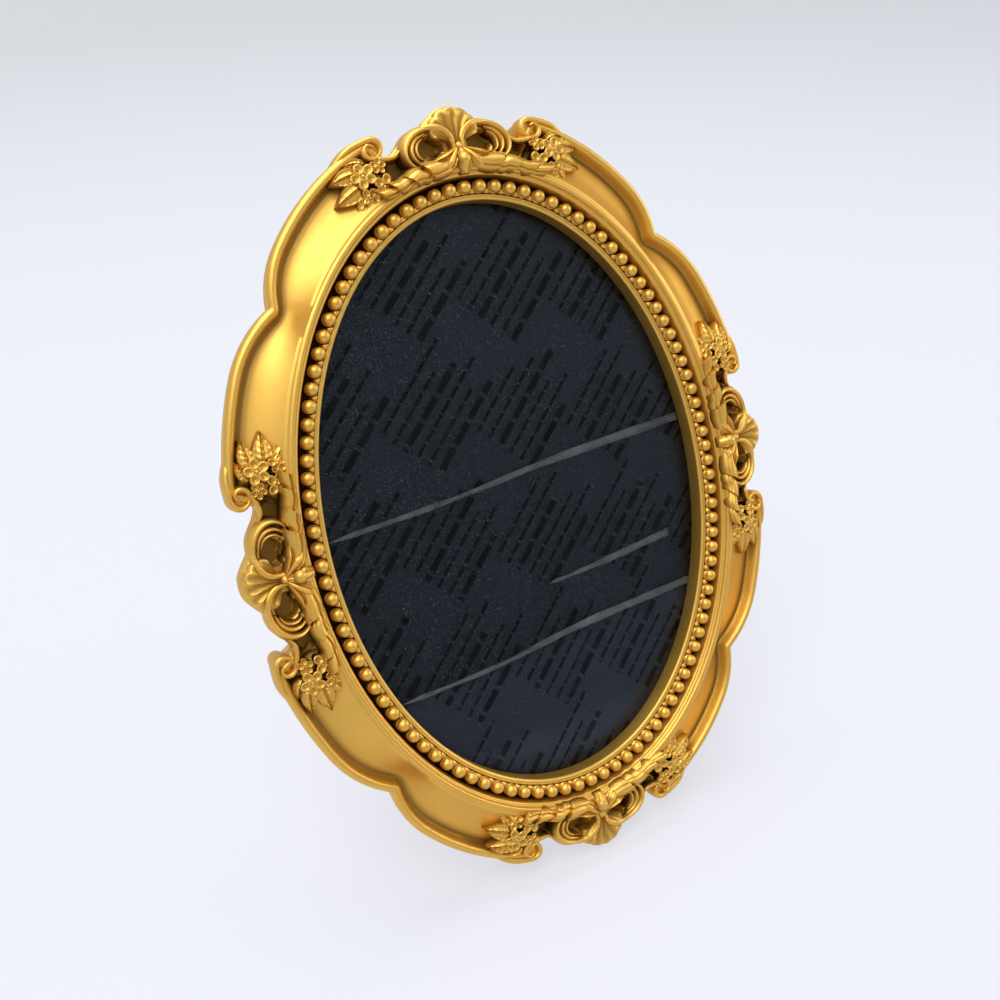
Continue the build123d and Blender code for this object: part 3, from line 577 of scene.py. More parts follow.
# Ribs of the curl as (spots, half width, crown)
CURL_RIBS = (
    (
        ((4.8, 19.4), (8.3, 20.0), (11.7, 19.1), (14.2, 16.9), (14.9, 14.1), (13.8, 11.8), (11.6, 10.9)),
        1.4, 2.4,
    ),
    (((8.0, 18.9), (10.8, 18.1), (12.6, 16.3), (13.0, 14.2), (12.2, 12.4), (10.8, 11.7)), 1.1, 2.1),
    (((8.8, 17.9), (10.5, 17.0), (11.4, 15.6), (11.5, 14.0), (10.8, 12.8), (9.8, 12.4)), 0.85, 1.7),
)
# Drapery, bands and leaves as (spots, half width), from the middle of an ornament to its end
SWAG_SLEEVES = (
    (((20.6, 9.6), (22.8, 9.4), (25.0, 9.8), (27.0, 10.3)), 2.0),
    (((15.4, 9.2), (17.6, 9.7), (20.2, 9.4), (22.6, 9.7)), 2.35),
    (((9.8, 9.7), (12.0, 9.1), (14.6, 9.5), (17.2, 9.2)), 2.7),
    (((1.6, 11.2), (4.4, 10.0), (8.0, 9.4), (11.6, 9.5)), 2.95),
)
TUFT_FOLD = ((0.0, 14.0), (0.0, 11.6), (0.0, 9.2), (0.0, 6.5))
SIDE_FOLDS = (
    (((0.4, 13.8), (2.2, 11.8), (4.0, 9.9), (6.0, 7.9)), 2.0),
    (((0.6, 13.8), (3.0, 12.6), (5.6, 11.7), (8.4, 11.3)), 1.05),
)
NOTCH_BAND = (
    (20.7, 21.4), (21.6, 22.3), (22.9, 21.9), (23.4, 20.4), (22.7, 18.9), (21.0, 17.9), (19.0, 16.9),
    (17.0, 16.5), (15.0, 17.4),
)
FLOWER_SPOTS = (
    (27.4, 16.9, 3.3, 0.35), (24.2, 11.5, 3.3, 1.1), (29.4, 11.7, 2.5, 0.2), (22.7, 16.7, 2.1, 0.8)
)
LEAVES = (
    (((28.6, 15.1), (32.4, 15.3), (37.2, 15.9)), 2.75),
    (((28.0, 18.0), (31.0, 19.4), (34.6, 20.6)), 2.3),
    (((28.2, 12.4), (31.8, 10.9), (35.6, 9.2)), 2.4),
    (((25.6, 9.8), (28.6, 8.6), (31.6, 7.9)), 1.8),
    (((25.4, 18.8), (27.4, 20.6), (29.6, 21.9)), 1.6),
)
CLUSTER_MIDDLE = (26.2, 14.0)


def half_ornament():
    """Scroll, acanthus curl, swag and notch band of half an ornament."""
    carved = Relief()
    for fold, width in SIDE_FOLDS:
        carved.strap(
            fold, (0.25 * width, 0.65 * width, width, width, 0.45 * width),
            ((2.2, 1.3), (2.6, 2.4), (2.7, 3.2), (2.4, 2.2)), FOLD_PROFILE, count=24,
        )
    carved.strap(
        SCROLL, (0.7, 0.9, 0.85, 0.95, 1.1, 1.2, 1.1, 0.7),
        ((1.4, 1.9), (1.3, 2.1), (1.1, 2.3), (1.2, 2.3), (0.9, 1.7)), ROUND_PROFILE,
        skirt=DEEP_SKIRT, count=44,
    )
    carved.dome((4.7, 12.3), 1.25, 1.6, 2.2, DEEP_SKIRT)
    for spots, width, crown in CURL_RIBS:
        carved.strap(
            spots, (0.4 * width, 0.8 * width, width, width, 0.85 * width, 0.6 * width, 0.3 * width),
            ((1.0, 0.7 * crown), (1.0, 0.9 * crown), (1.1, crown), (1.4, crown), (1.6, 0.8 * crown)),
            RIDGE_PROFILE, skirt=DEEP_SKIRT, count=40,
        )
    carved.dome((10.4, 11.6), 1.15, 1.5, 2.1, DEEP_SKIRT)
    for sleeve, width in SWAG_SLEEVES:
        carved.strap(
            sleeve, (0.55 * width, 0.8 * width, 0.95 * width, width, 0.97 * width),
            ((2.1, 1.9), (2.2, 2.7), (2.3, 3.2), (2.4, 3.5), (2.4, 3.8)), FOLD_PROFILE, skirt=0.2,
            count=28, skew=1.5,
        )
    carved.strap(
        NOTCH_BAND, (0.35, 0.55, 0.75, 0.85, 0.85, 0.8, 0.7, 0.35),
        ((0.6, 1.4), (0.6, 1.6), (0.7, 1.6), (0.8, 1.6), (0.9, 1.5), (0.7, 0.9)), ROUND_PROFILE,
        skirt=DEEP_SKIRT, count=56,
    )
    return carved.bare_edges()


def centre_of_ornament():
    """The shell, the tuft and the knot that lie on an ornament's own middle line."""
    carved = Relief()
    carved.fan(FAN_WAIST, FAN_REACH, 64, 7)
    carved.strap(
        TUFT_FOLD, (0.5, 1.3, 2.2, 2.5, 1.5), ((2.3, 1.4), (2.9, 2.6), (3.0, 3.4), (2.6, 2.2)), FOLD_PROFILE,
        count=24,
    )
    carved.dome((0.0, 10.2), 2.15, 3.9, 2.7, 1.0, rings=8, sides=24)
    carved.dome((0.0, 13.9), 1.35, 2.4, 1.9, -1.0)
    return carved.bare_edges()


def lip_volute():
    """The end of the lip, rolled round a post."""
    carved = Relief()
    roll = [(32.0, 22.6), (28.6, 23.6), (25.2, 24.0)]
    for turn in range(100, 290, 20):
        angle = math.radians(turn)
        roll.append((VOLUTE_CENTRE[0] + 2.35 * math.cos(angle), VOLUTE_CENTRE[1] + 2.35 * math.sin(angle)))
    carved.strap(
        roll, (0.7, 0.9, 1.0, 0.95, 0.8, 0.35),
        ((-2.2, 1.2), (-0.7, 1.7), (-0.3, 1.8), (0.0, 1.7), (0.3, 1.2)), ROUND_PROFILE, skirt=-3.0, count=44,
    )
    carved.dome(VOLUTE_CENTRE, VOLUTE_RADIUS, -0.8, 1.2, -9.2, rings=6, sides=30, taper=0.72)
    return carved.bare_edges()


def flower_cluster():
    """Flowers and pointed leaves at one end of an ornament."""
    carved = Relief()
    for spots, width in LEAVES:
        carved.strap(
            spots, (0.45 * width, 0.9 * width, width, 0.82 * width, 0.45 * width, 0.06),
            ((1.0, 1.9), (1.0, 2.2), (0.7, 2.2), (0.3, 1.9), (0.3, 1.2)), LEAF_PROFILE, skirt=-2.6, count=34,
            undercut=0.28, veins=0.10,
        )
    for along, out, radius, turn in FLOWER_SPOTS:
        away = (along - CLUSTER_MIDDLE[0], out - CLUSTER_MIDDLE[1])
        lift = 2.7 - 0.02 * (away[0] ** 2 + away[1] ** 2)
        carved.flower((along, out), radius, lift, turn, (-0.05 * away[0], -0.05 * away[1]))
    return carved


class Value:
    """A number that varies over a surface. Python's operators add the Math nodes."""

    def __init__(self, surface, socket):
        self.surface, self.socket = surface, socket

    def math(self, operation, *others, clamp=False):
        settings = {"operation": operation, "use_clamp": clamp}
        return Value(self.surface, self.surface.node("ShaderNodeMath", settings, (self, *others)).outputs[0])

    def __add__(self, other):
        return self.math("ADD", other)

    __radd__ = __add__

    def __mul__(self, other):
        return self.math("MULTIPLY", other)

    def __sub__(self, other):
        return self.math("SUBTRACT", other)

    def __rsub__(self, other):
        return (self * -1) + other

    def clamped(self):
        return self.math("ADD", 0.0, clamp=True)

    def above(self, limit, softness):
        """0 below the limit and 1 above it, with a soft edge."""
        return ((self - limit) * (1 / softness)).clamped()


class Nodes:
    """A node tree, built up node by node."""

    def __init__(self, tree):
        self.tree = tree

    def node(self, kind, settings=None, inputs=()):
        """A node of a type, with its settings first and then the values or links of its sockets."""
        made = self.tree.nodes.new(kind)
        for key, value in (settings or {}).items():
            setattr(made, key, value)
        pairs = inputs.items() if isinstance(inputs, dict) else enumerate(inputs)
        for key, value in pairs:
            self.join(value, made.inputs[key])
        return made

    def made(self, kind, settings=None, **inputs):
        """First output of a node. Each keyword is the name of a socket, with spaces as underscores."""
        return self.node(kind, settings, {key.replace("_", " "): inputs[key] for key in inputs}).outputs[0]

    def join(self, value, socket):
        if isinstance(value, Value):
            value = value.socket
        if isinstance(value, bpy.types.NodeSocket):
            self.tree.links.new(value, socket)
        else:
            socket.default_value = value


class Shading(Nodes):
    """The nodes of a material or of the world, with a place to start from."""

    def __init__(self, tree, place):
        super().__init__(tree)
        self.place = self.node("ShaderNodeTexCoord").outputs[place]

    def noise(self, scale, detail=2.0, roughness=0.5):
        """Noise about 0.5, at so many waves to the metre."""
        return Value(self, self.made(
            "ShaderNodeTexNoise", Vector=self.place, Scale=scale, Detail=detail, Roughness=roughness
        ))

    def attribute(self, name):
        return Value(self, self.node("ShaderNodeAttribute", {"attribute_name": name}).outputs["Fac"])

    def mix(self, share, low, high):
        """A colour between two colours."""
        made = self.node("ShaderNodeMix", {"data_type": "RGBA"})
        self.join(share, made.inputs["Factor"])
        for value, key in ((low, 6), (high, 7)):
            self.join((*value, 1.0) if isinstance(value, (tuple, list)) else value, made.inputs[key])
        return made.outputs[2]

    def shader_between(self, share, low, high):
        return self.node("ShaderNodeMixShader", {}, (share, low, high)).outputs[0]

    def axis(self, letter):
        return Value(self, self.node("ShaderNodeSeparateXYZ", {}, (self.place,)).outputs[letter])

    def seen_rays(self):
        """1 for rays from the camera or off a mirror or through glass, and 0 for light on its way."""
        rays = self.node("ShaderNodeLightPath").outputs
        names = ("Is Camera Ray", "Is Glossy Ray", "Is Transmission Ray")
        return sum((Value(self, rays[name]) for name in names), 0.0).clamped()


class Surface(Shading):
    """A material of one Principled shader."""

    def __init__(self, name):
        self.material = bpy.data.materials.new(name)
        self.material.use_nodes = True
        super().__init__(self.material.node_tree, "Object")
        self.shader = self.tree.nodes["Principled BSDF"]

    def finish(self, fixed, varying):
        for key, value in (*fixed.items(), *varying.items()):
            self.join(value, self.shader.inputs[key])
        return self.material

    def bump(self, height, strength, distance):
        return self.made("ShaderNodeBump", Strength=strength, Distance=distance, Height=height)

    def on_face(self, face):
        """Distances right of and above the middle of the frame's face, in millimetres."""
        right = self.axis("X") * (1 / MM)
        up = (self.axis("Y") * face.up[1] + self.axis("Z") * face.up[2] - face.origin @ face.up) * (1 / MM)
        return right, up


def gilt_paint(colours):
    """Antique gold: metallic paint with a fine sparkle, and brown painted shade in the hollows."""
    paint = Surface("gilt_paint")
    painted_shade = paint.attribute("painted_shade")
    cloud = paint.noise(90, detail=3)
    grain = paint.noise(5200, detail=1)
    # Painted shade: brown laid over the gold where each point is marked for it, a little patchy
    shade_share = (painted_shade * 1.15 + (cloud - 0.5) * 0.35 * painted_shade).clamped()
    gold = tuple(colours.gold)
    pale = tuple(min(1.0, channel * 1.12 + 0.02) for channel in gold)
    toned = paint.mix((cloud - 0.3).clamped(), gold, pale)
    shaded_gold = paint.mix(shade_share, toned, tuple(colours.shade_colour))
    rough = 0.38 + grain * 0.12 + painted_shade * 0.16
    return paint.finish(
        {"Metallic": 0.93, "Specular IOR Level": 0.5},
        {"Base Color": shaded_gold, "Roughness": rough, "Normal": paint.bump(grain, 0.16, 0.0003)},
    )


def clear_acrylic():
    acrylic = Surface("clear_acrylic")
    haze = acrylic.noise(40, detail=2)
    return acrylic.finish(
        {"Base Color": (0.93, 0.96, 1.0, 1.0), "Transmission Weight": 1.0, "IOR": 1.12},
        {"Roughness": 0.02 + haze * 0.02},
    )


def film_finish(face):
    """Thin protective film in very slight waves, printed with rows of plain slanted dashes."""
    film = Surface("protective_film")
    waves = film.noise(35, detail=2)
    fine = film.noise(2200, detail=1)
    right, up = film.on_face(face)
    run = (right + up) * 0.7071
    row = (up - right) * (0.7071 / 4.0)
    number = row.math("FLOOR")
    heavy = 1 - (number * (1 / 3)).math("FRACT").above(0.2, 0.01)
    middle = 1 - ((row - number) - 0.5).math("ABSOLUTE") * 2
    block = run * (1 / 44) + (number * (1 / 6)).math("FLOOR") * 0.37
    start = block.math("FRACT")
    line = start.above(0.22, 0.002) * ((number * 0.618).math("FRACT") * 0.3 + 0.7 - start).above(0.0, 0.002)
    dash = (run * (0.21 - heavy * 0.09) + number * 0.3).math("FRACT").above(0.14, 0.05)
    stroke = (middle - (0.68 - heavy * 0.22)).above(0.0, 0.12) * line * dash
    return film.finish(
        {"Transmission Weight": 1.0, "IOR": 1.16},
        {
            "Base Color": film.mix(stroke * 0.62, (0.93, 0.96, 1.0), (0.02, 0.02, 0.02)),
            "Roughness": 0.03 + fine * 0.05,
            "Normal": film.bump(waves, 0.02, 0.0008),
        },
    )


def crease_finish():
    crease = Surface("film_crease")
    waves = crease.noise(160, detail=3)
    return crease.finish(
        {"Base Color": (0.13, 0.14, 0.15, 1.0), "IOR": 1.25},
        {"Roughness": 0.38 + waves * 0.2, "Alpha": (waves - 0.25).clamped() * 1.3 + 0.14},
    )


def card_finish(colours, face):
    """Black card, painted paler at the lower right as a reflection on the pane, with specks of dust."""
    card = Surface("black_card")
    right, up = card.on_face(face)
    specks = card.noise(3000, detail=0).above(0.715, 0.02)
    # Painted reflection: the card is painted paler towards the lower right, where the pane's soft gloss shows
    painted_reflection = (right * 0.04 - up - 43.0).above(0.0, 5.0) * 0.8
    cloud = card.noise(25, detail=2)
    dark = tuple(colours.card)
    light = tuple(channel * 1.7 for channel in dark)
    plain = card.mix(painted_reflection, card.mix(cloud, dark, light), (0.046, 0.047, 0.052))
    return card.finish(
        {"Specular IOR Level": 0.2, "Roughness": 0.75},
        {"Base Color": card.mix(specks * 0.8, plain, (0.20, 0.22, 0.25))},
    )


def flock_finish(colours):
    """Black flocked board: short fibre with a pale sheen here and there."""
    flock = Surface("flocked_board")
    fibre = flock.noise(6500, detail=3, roughness=0.7)
    nap = flock.noise(60, detail=2)
    dark = tuple(colours.flock)
    worn = tuple(channel * 2.6 for channel in dark)
    return flock.finish(
        {"Specular IOR Level": 0.15, "Sheen Weight": 0.35},
        {
            "Base Color": flock.mix((fibre * 0.8 + nap * 0.35 - 0.25).clamped(), dark, worn),
            "Roughness": 0.85 + fibre * 0.1,
            "Normal": flock.bump(fibre, 0.5, 0.0004),
        },
    )


def metal_finish(name, colour, roughness, scratches):
    """Stamped and plated metal, lightly scratched."""
    metal = Surface(name)
    wear = metal.noise(450, detail=3, roughness=0.65)
    stains = metal.noise(120, detail=2)
    dull = tuple(channel * 0.6 for channel in colour)
    return metal.finish(
        {"Metallic": 1.0},
        {
            "Base Color": metal.mix((stains - 0.35).clamped(), colour, dull),
            "Roughness": roughness + wear * scratches,
            "Normal": metal.bump(wear, 0.1, 0.0002),
        },
    )


def lacquer_finish():
    lacquer = Surface("black_lacquer")
    wear = lacquer.noise(500, detail=3)
    return lacquer.finish(
        {"Coat Roughness": 0.2},
        {
            "Base Color": lacquer.mix(wear.above(0.66, 0.08), (0.02, 0.02, 0.021), (0.12, 0.11, 0.1)),
            "Roughness": 0.3 + wear * 0.2,
            "Coat Weight": 0.4 + wear * 0.1,
        },
    )


def finishes():
    """Every finish of the frame, made once and then shared."""
    made = getattr(finishes, "made", None)
    if made is None:
        colours = bpy.context.scene.frame_colours
        face = Face(bpy.context.scene.frame_sizes)
        made = {
            "gilt_resin": gilt_paint(colours),
            "clear_acrylic": clear_acrylic(),
            "protective_film": film_finish(face),
            "film_crease": crease_finish(),
            "black_card": card_finish(colours, face),
            "flocked_board": flock_finish(colours),
            "plated_steel": metal_finish("plated_steel", (0.80, 0.62, 0.30), 0.26, 0.22),
            "brass_rivet": metal_finish("brass_rivet", (0.86, 0.66, 0.30), 0.2, 0.2),
            "black_steel": lacquer_finish(),
        }
        finishes.made = made
    return made


def dress_node(node, finish):
    """Gives a CAD node its finish."""
    target = frame["nodes"][node]
    target.data.materials.clear()
    target.data.materials.append(finishes()[finish])


class Geometry(Nodes):
    """A Geometry Nodes tree that sets a small shape on every point of a piece."""

    def __init__(self, name, inputs):
        super().__init__(bpy.data.node_groups.new(name, "GeometryNodeTree"))
        face = self.tree.interface
        face.new_socket("Geometry", in_out="INPUT", socket_type="NodeSocketGeometry")
        for key, value in inputs.items():
            kind = "NodeSocketInt" if isinstance(value, int) else "NodeSocketFloat"
            face.new_socket(key, in_out="INPUT", socket_type=kind).default_value = value
        face.new_socket("Upright", in_out="INPUT", socket_type="NodeSocketVector")
        face.new_socket("Finish", in_out="INPUT", socket_type="NodeSocketMaterial")
        face.new_socket("Geometry", in_out="OUTPUT", socket_type="NodeSocketGeometry")
        self.given = self.tree.nodes.new("NodeGroupInput").outputs

    def scaled(self, value, factor, addend=0.0):
        return self.node("ShaderNodeMath", {"operation": "MULTIPLY_ADD"}, (value, factor, addend)).outputs[0]

    def vector(self, x=0.0, y=0.0, z=0.0):
        return self.node("ShaderNodeCombineXYZ", {}, (x, y, z)).outputs[0]

    def random(self, low, high, seed):
        inputs = {2: low, 3: high, "Seed": seed}
        return self.node("FunctionNodeRandomValue", {"data_type": "FLOAT"}, inputs).outputs[1]

    def joined(self, *parts):
        join = self.node("GeometryNodeJoinGeometry")
        for part in parts:
            self.join(part, join.inputs[0])
        return join.outputs[0]

    def moved(self, shape, place, **inputs):
        return self.made("GeometryNodeTransform", Geometry=shape, Translation=place, **inputs)

    def cylinder(self, sides, radius, depth, centre):
        shape = self.made("GeometryNodeMeshCylinder", Vertices=sides, Radius=radius, Depth=depth)
        return self.moved(shape, self.vector(z=centre))

    def standing(self):
        return self.made("FunctionNodeAlignRotationToVector", {"axis": "Z"}, Vector=self.given["Upright"])

    def finished(self, points, shape, rotation, scale=(1.0, 1.0, 1.0)):
        """Sets the shape on the points, makes it real, gives it its finish and ends the tree."""
        placed = self.made(
            "GeometryNodeInstanceOnPoints", Points=points, Instance=shape, Rotation=rotation, Scale=scale
        )
        real = self.made("GeometryNodeRealizeInstances", Geometry=placed)
        smooth = self.made("GeometryNodeSetShadeSmooth", Geometry=real)
        painted = self.made("GeometryNodeSetMaterial", Geometry=smooth, Material=self.given["Finish"])
        self.join(painted, self.tree.nodes.new("NodeGroupOutput").inputs[0])
        return self.tree


def bead_tree():
    """Node tree that sets beads along a path, with a small web from each to the next."""
    tree = Geometry("Bead Row", {
        "Count": 104, "Diameter": 0.0037, "Post Height": 0.0022, "Pitch": 0.0046, "Variation": 0.05,
        "Seed": 4,
    })
    given, made = tree.given, tree.made
    radius = tree.scaled(given["Diameter"], 0.5)
    points = {"Curve": given["Geometry"], "Count": given["Count"]}
    row = tree.node("GeometryNodeCurveToPoints", {"mode": "COUNT"}, points).outputs
    ball = made("GeometryNodeMeshUVSphere", Segments=18, Rings=12, Radius=radius)
    post = tree.cylinder(18, radius, given["Post Height"], tree.scaled(given["Post Height"], -0.5))
    top, foot, depth = WEB_SIZE
    wedge = made("GeometryNodeMeshCone", Vertices=3, Radius_Top=top, Radius_Bottom=foot, Depth=depth)
    beside = tree.vector(tree.scaled(given["Pitch"], 0.5), WEB_ASIDE, WEB_DROP)
    web = tree.moved(wedge, beside, Rotation=(0.0, 0.0, -math.pi / 2), Scale=(1.1, 1.25, 1.0))
    turned = made(
        "FunctionNodeAlignRotationToVector", {"axis": "X", "pivot_axis": "Z"}, Rotation=tree.standing(),
        Vector=row["Tangent"],
    )
    size = tree.random(tree.scaled(given["Variation"], -1.0, 1.0), 1.0, given["Seed"])
    return tree.finished(row["Points"], tree.joined(ball, post, web), turned, size)


def fastener_tree():
    """Node tree that sets domed rivets or cross-headed screws on points, all standing one way."""
    tree = Geometry("Fasteners", {
        "Head Radius": 0.0022, "Head Height": 0.0008, "Shank Radius": 0.0011, "Shank Length": 0.004,
        "Clinch Radius": 0.002, "Clinch Height": 0.0005, "Cross Width": 0.0,
    })
    given, made, scaled = tree.given, tree.made, tree.scaled
    ball = made("GeometryNodeMeshUVSphere", Segments=28, Rings=16, Radius=1.0)
    size = tree.vector(given["Head Radius"], given["Head Radius"], given["Head Height"])
    dome = made("GeometryNodeTransform", Geometry=ball, Scale=size)
    arm, depth = scaled(given["Head Radius"], 1.15), scaled(given["Head Height"], 1.2)
    width = given["Cross Width"]
    cross = tree.joined(*(
        made("GeometryNodeMeshCube", Size=tree.vector(x, y, depth)) for x, y in ((arm, width), (width, arm))
    ))
    lifted = tree.moved(cross, tree.vector(z=given["Head Height"]))
    cut = {"operation": "DIFFERENCE", "solver": "EXACT"}
    cleft = made("GeometryNodeMeshBoolean", cut, Mesh_1=dome, Mesh_2=lifted)
    height = tree.node("ShaderNodeSeparateXYZ", {}, (made("GeometryNodeInputPosition"),)).outputs["Z"]
    below = {"data_type": "FLOAT", "operation": "LESS_THAN"}
    under = tree.node("FunctionNodeCompare", below, (height, -0.00002)).outputs[0]
    head = made("GeometryNodeDeleteGeometry", {"domain": "POINT"}, Geometry=cleft, Selection=under)
    length = given["Shank Length"]
    shank = tree.cylinder(20, given["Shank Radius"], length, scaled(length, -0.5))
    clinch_middle = scaled(given["Clinch Height"], 0.5, scaled(length, -1.0))
    clinch = tree.cylinder(20, given["Clinch Radius"], given["Clinch Height"], clinch_middle)
    spin = tree.vector(z=tree.random(0.0, math.pi, 7))
    turned = made(
        "FunctionNodeRotateRotation", {"rotation_space": "LOCAL"}, Rotation=tree.standing(), Rotate_By=spin
    )
    points = made("GeometryNodeMeshToPoints", Mesh=given["Geometry"])
    return tree.finished(points, tree.joined(head, shank, clinch), turned)


def realised(name, source, tree, values):
    """Runs a node tree on an object and returns its result as a plain mesh object."""
    modifier = source.modifiers.new(name, "NODES")
    modifier.node_group = tree
    for item in tree.interface.items_tree:
        if item.in_out == "INPUT" and item.name in values:
            modifier[item.identifier] = values[item.name]
    bpy.context.view_layer.update()
    evaluated = source.evaluated_get(bpy.context.evaluated_depsgraph_get())
    mesh = bpy.data.meshes.new_from_object(evaluated)
    source.modifiers.remove(modifier)
    bpy.data.objects.remove(source)
    mesh.name = name
    return new_object(name, mesh)


class Step:
    """Runs one step of the frame on its leaning face."""

    def execute(self, context):
        self.make(Face(context.scene.frame_sizes), context.scene)
        return {"FINISHED"}


BEAD_INSET = 3.4
BEAD_CENTRE_HEIGHT = 1.2
POST_SINK = 0.0003
WEB_DROP = -0.0021
WEB_ASIDE = 0.00125
WEB_SIZE = (0.0007, 0.0013, 0.0021)
CHANNEL_FLOOR = -2.1
BEAD_PATH_STEPS = 720


class FRAME_OT_moulding(Step, bpy.types.Operator):
    """Make the moulding's body: bezel, bead channel, fillet, panel, lip and outer wall"""

    bl_idname = "frame.moulding"
    bl_label = "Moulding"

    def make(self, face, scene):
        points, outs, heights = moulding_body(face)
        add_piece(
            "moulding", points.reshape(-1, 3), ring_faces(*outs.shape), "gilt_resin", "frame_moulding",
            painted_shade=moulding_painted_shade(outs, heights).ravel(), sharp=62,
        )


class FRAME_OT_beads(Step, bpy.types.Operator):
    """Set the bead row round the sight opening"""

    bl_idname = "frame.beads"
    bl_label = "Bead row"

    def make(self, face, scene):
        sizes = scene.frame_sizes
        u, v = face.offset(np.linspace(0, 2 * math.pi, BEAD_PATH_STEPS, endpoint=False), BEAD_INSET)
        places = face.world(u, v, BEAD_CENTRE_HEIGHT)
        path = bpy.data.curves.new("bead_path", "CURVE")
        path.dimensions = "3D"
        spline = path.splines.new("POLY")
        spline.points.add(len(places) - 1)
        for point, place in zip(spline.points, places):
            point.co = (*place, 1.0)
        spline.use_cyclic_u = True
        row = realised("bead_row", new_object("bead_path", path), bead_tree(), {
            "Count": sizes.bead_count,
            "Diameter": sizes.bead_diameter,
            "Post Height": (BEAD_CENTRE_HEIGHT - CHANNEL_FLOOR) * MM + POST_SINK,
            "Pitch": float(lengths_along(np.column_stack([u, v]))[-1] * MM / sizes.bead_count),
            "Variation": 0.05,
            "Seed": 4,
            "Upright": tuple(face.out),
            "Finish": finishes()["gilt_resin"],
        })
        corners = np.array([vertex.co for vertex in row.data.vertices])
        # Painted shade on the bead posts, heavier towards the channel floor
        mark_painted_shade(row.data, 0.8 * (1 - smooth_step(-2.0, -0.4, (corners - face.origin) @ face.out / MM)))
        take_part(row, "frame", "gilt_resin")


class FRAME_OT_ornaments(Step, bpy.types.Operator):
    """Carve the four ornaments: shell, scrolls, curls, swag, volutes and flower clusters"""

    bl_idname = "frame.ornaments"
    bl_label = "Carved ornaments"

    def make(self, face, scene):
        kinds = (
            ("scrollwork", (half_ornament(), lip_volute()), (centre_of_ornament(),)),
            ("flowers", (flower_cluster(),), ()),
        )
        for side, side_name in enumerate(SIDE_NAMES):
            for kind, halves, middles in kinds:
                whole = Relief()
                for carving in halves:
                    for turn in (1, -1):
                        whole.add(*carving.laid(face, side, turn))
                for carving in middles:
                    whole.add(*carving.laid(face, side, 1))
                add_piece(
                    f"{side_name}_{kind}", whole.points, whole.faces, "gilt_resin", painted_shade=whole.painted_shade,
                    sharp=70,
                )


# Creases of the film as runs across the pane, in millimetres right of and above its middle
CREASES = (
    ((-59.5, 4.0), (-22.0, 5.6), (12.0, 8.4), (59.0, 10.5)),
    ((-50.0, -46.0), (-18.0, -45.4), (10.0, -42.8), (52.0, -41.4)),
    ((3.0, -27.1), (20.0, -26.4), (48.0, -24.2)),
)
PANE_OVERHANG = 3.4
SHEET_THICKNESS = 0.06
CREASE_HALF_WIDTH = 1.15
CREASE_RISE = 0.22
CREASE_SECTION = ((-1, 0), (-0.62, 0.8), (-0.1, 0.1), (0.3, 1), (1, 0), (0, -0.05))
CREASE_STEPS = 90
SHEET_SIDES = 180


class FRAME_OT_window(Step, bpy.types.Operator):
    """Dress the pane, its creased films and the black card behind it"""

    bl_idname = "frame.window"
    bl_label = "Window"

    def make(self, face, scene):
        dress_node("acrylic_pane", "clear_acrylic")
        dress_node("backing_card", "black_card")
        u, v = face.offset(np.linspace(0, 2 * math.pi, SHEET_SIDES, endpoint=False), 0)
        grow = 1 + PANE_OVERHANG / np.hypot(u, v)
        for name, front, finish in (
            ("front_film", PANE_FRONT, "protective_film"), ("rear_film", REAR_FILM_FRONT, "clear_acrylic")
        ):
            verts = [face.world(u * grow, v * grow, height) for height in (front, front - SHEET_THICKNESS)]
            add_piece(
                f"{name}_sheet", np.vstack(verts), tube_faces(2, SHEET_SIDES), "protective_film", name,
                finish=finish, sharp=40,
            )
        for number, spots in enumerate(CREASES, start=1):
            path = smooth_path(spots, CREASE_STEPS)
            normal = directions(path)[1]
            share = np.linspace(0, 1, CREASE_STEPS)
            swell = 0.5 + 0.7 * share + 0.12 * np.sin(share * 9.0 + number) + 0.08 * np.sin(share * 31.0)
            swell *= np.minimum(1, 14 * share + 0.1)
            verts = []
            for across, rise in CREASE_SECTION:
                spot = path + normal * (CREASE_HALF_WIDTH * across * swell)[:, None]
                verts.append(face.world(*spot.T, PANE_FRONT + 0.01 + CREASE_RISE * rise * swell))
            verts = np.stack(verts, axis=1).reshape(-1, 3)
            faces = tube_faces(CREASE_STEPS, len(CREASE_SECTION))
            add_piece(f"film_crease_{number}", verts, faces, "protective_film", finish="film_crease")


# The back in millimetres on the frame's face: fasteners, rings and the leg, which leans 15 degrees
BUTTON_ANGLES = (0, 50, 130, 180, 230, 310)
BUTTON_INSET = 8.6
HINGE_ALONG = 38.0
HINGE_HEIGHT = -12.1
LEG_LEAN = 15.0
RIVET_ASIDE = 8.5
RIVET_ALONG = 9.5
STRAP_RIVETS = ((0.0, 65.2), (-35.2, 0.0))
RING_SIZE = (15.2, 10.0)
RING_CORNER = 2.4
RING_WIRE = 0.66
WIRE_SIDES = 14
RINGS = (("top", (0.0, 72.0)), ("side", (-42.0, 0.0)))
TUBE_HEIGHT = -11.48
SCREW_SEAT, BOARD_SEAT, HANGER_SEAT, LEG_SEAT = -11.3, -10.8, -10.7, 1.6
RIVET = {"Head Radius": 0.0022, "Head Height": 0.0008, "Shank Radius": 0.0012}
SCREW = {
    "Head Radius": 0.0026, "Head Height": 0.0016, "Shank Radius": 0.00105, "Shank Length": 0.0070,
    "Clinch Radius": 0.0009, "Clinch Height": 0.0004, "Cross Width": 0.00055,
}


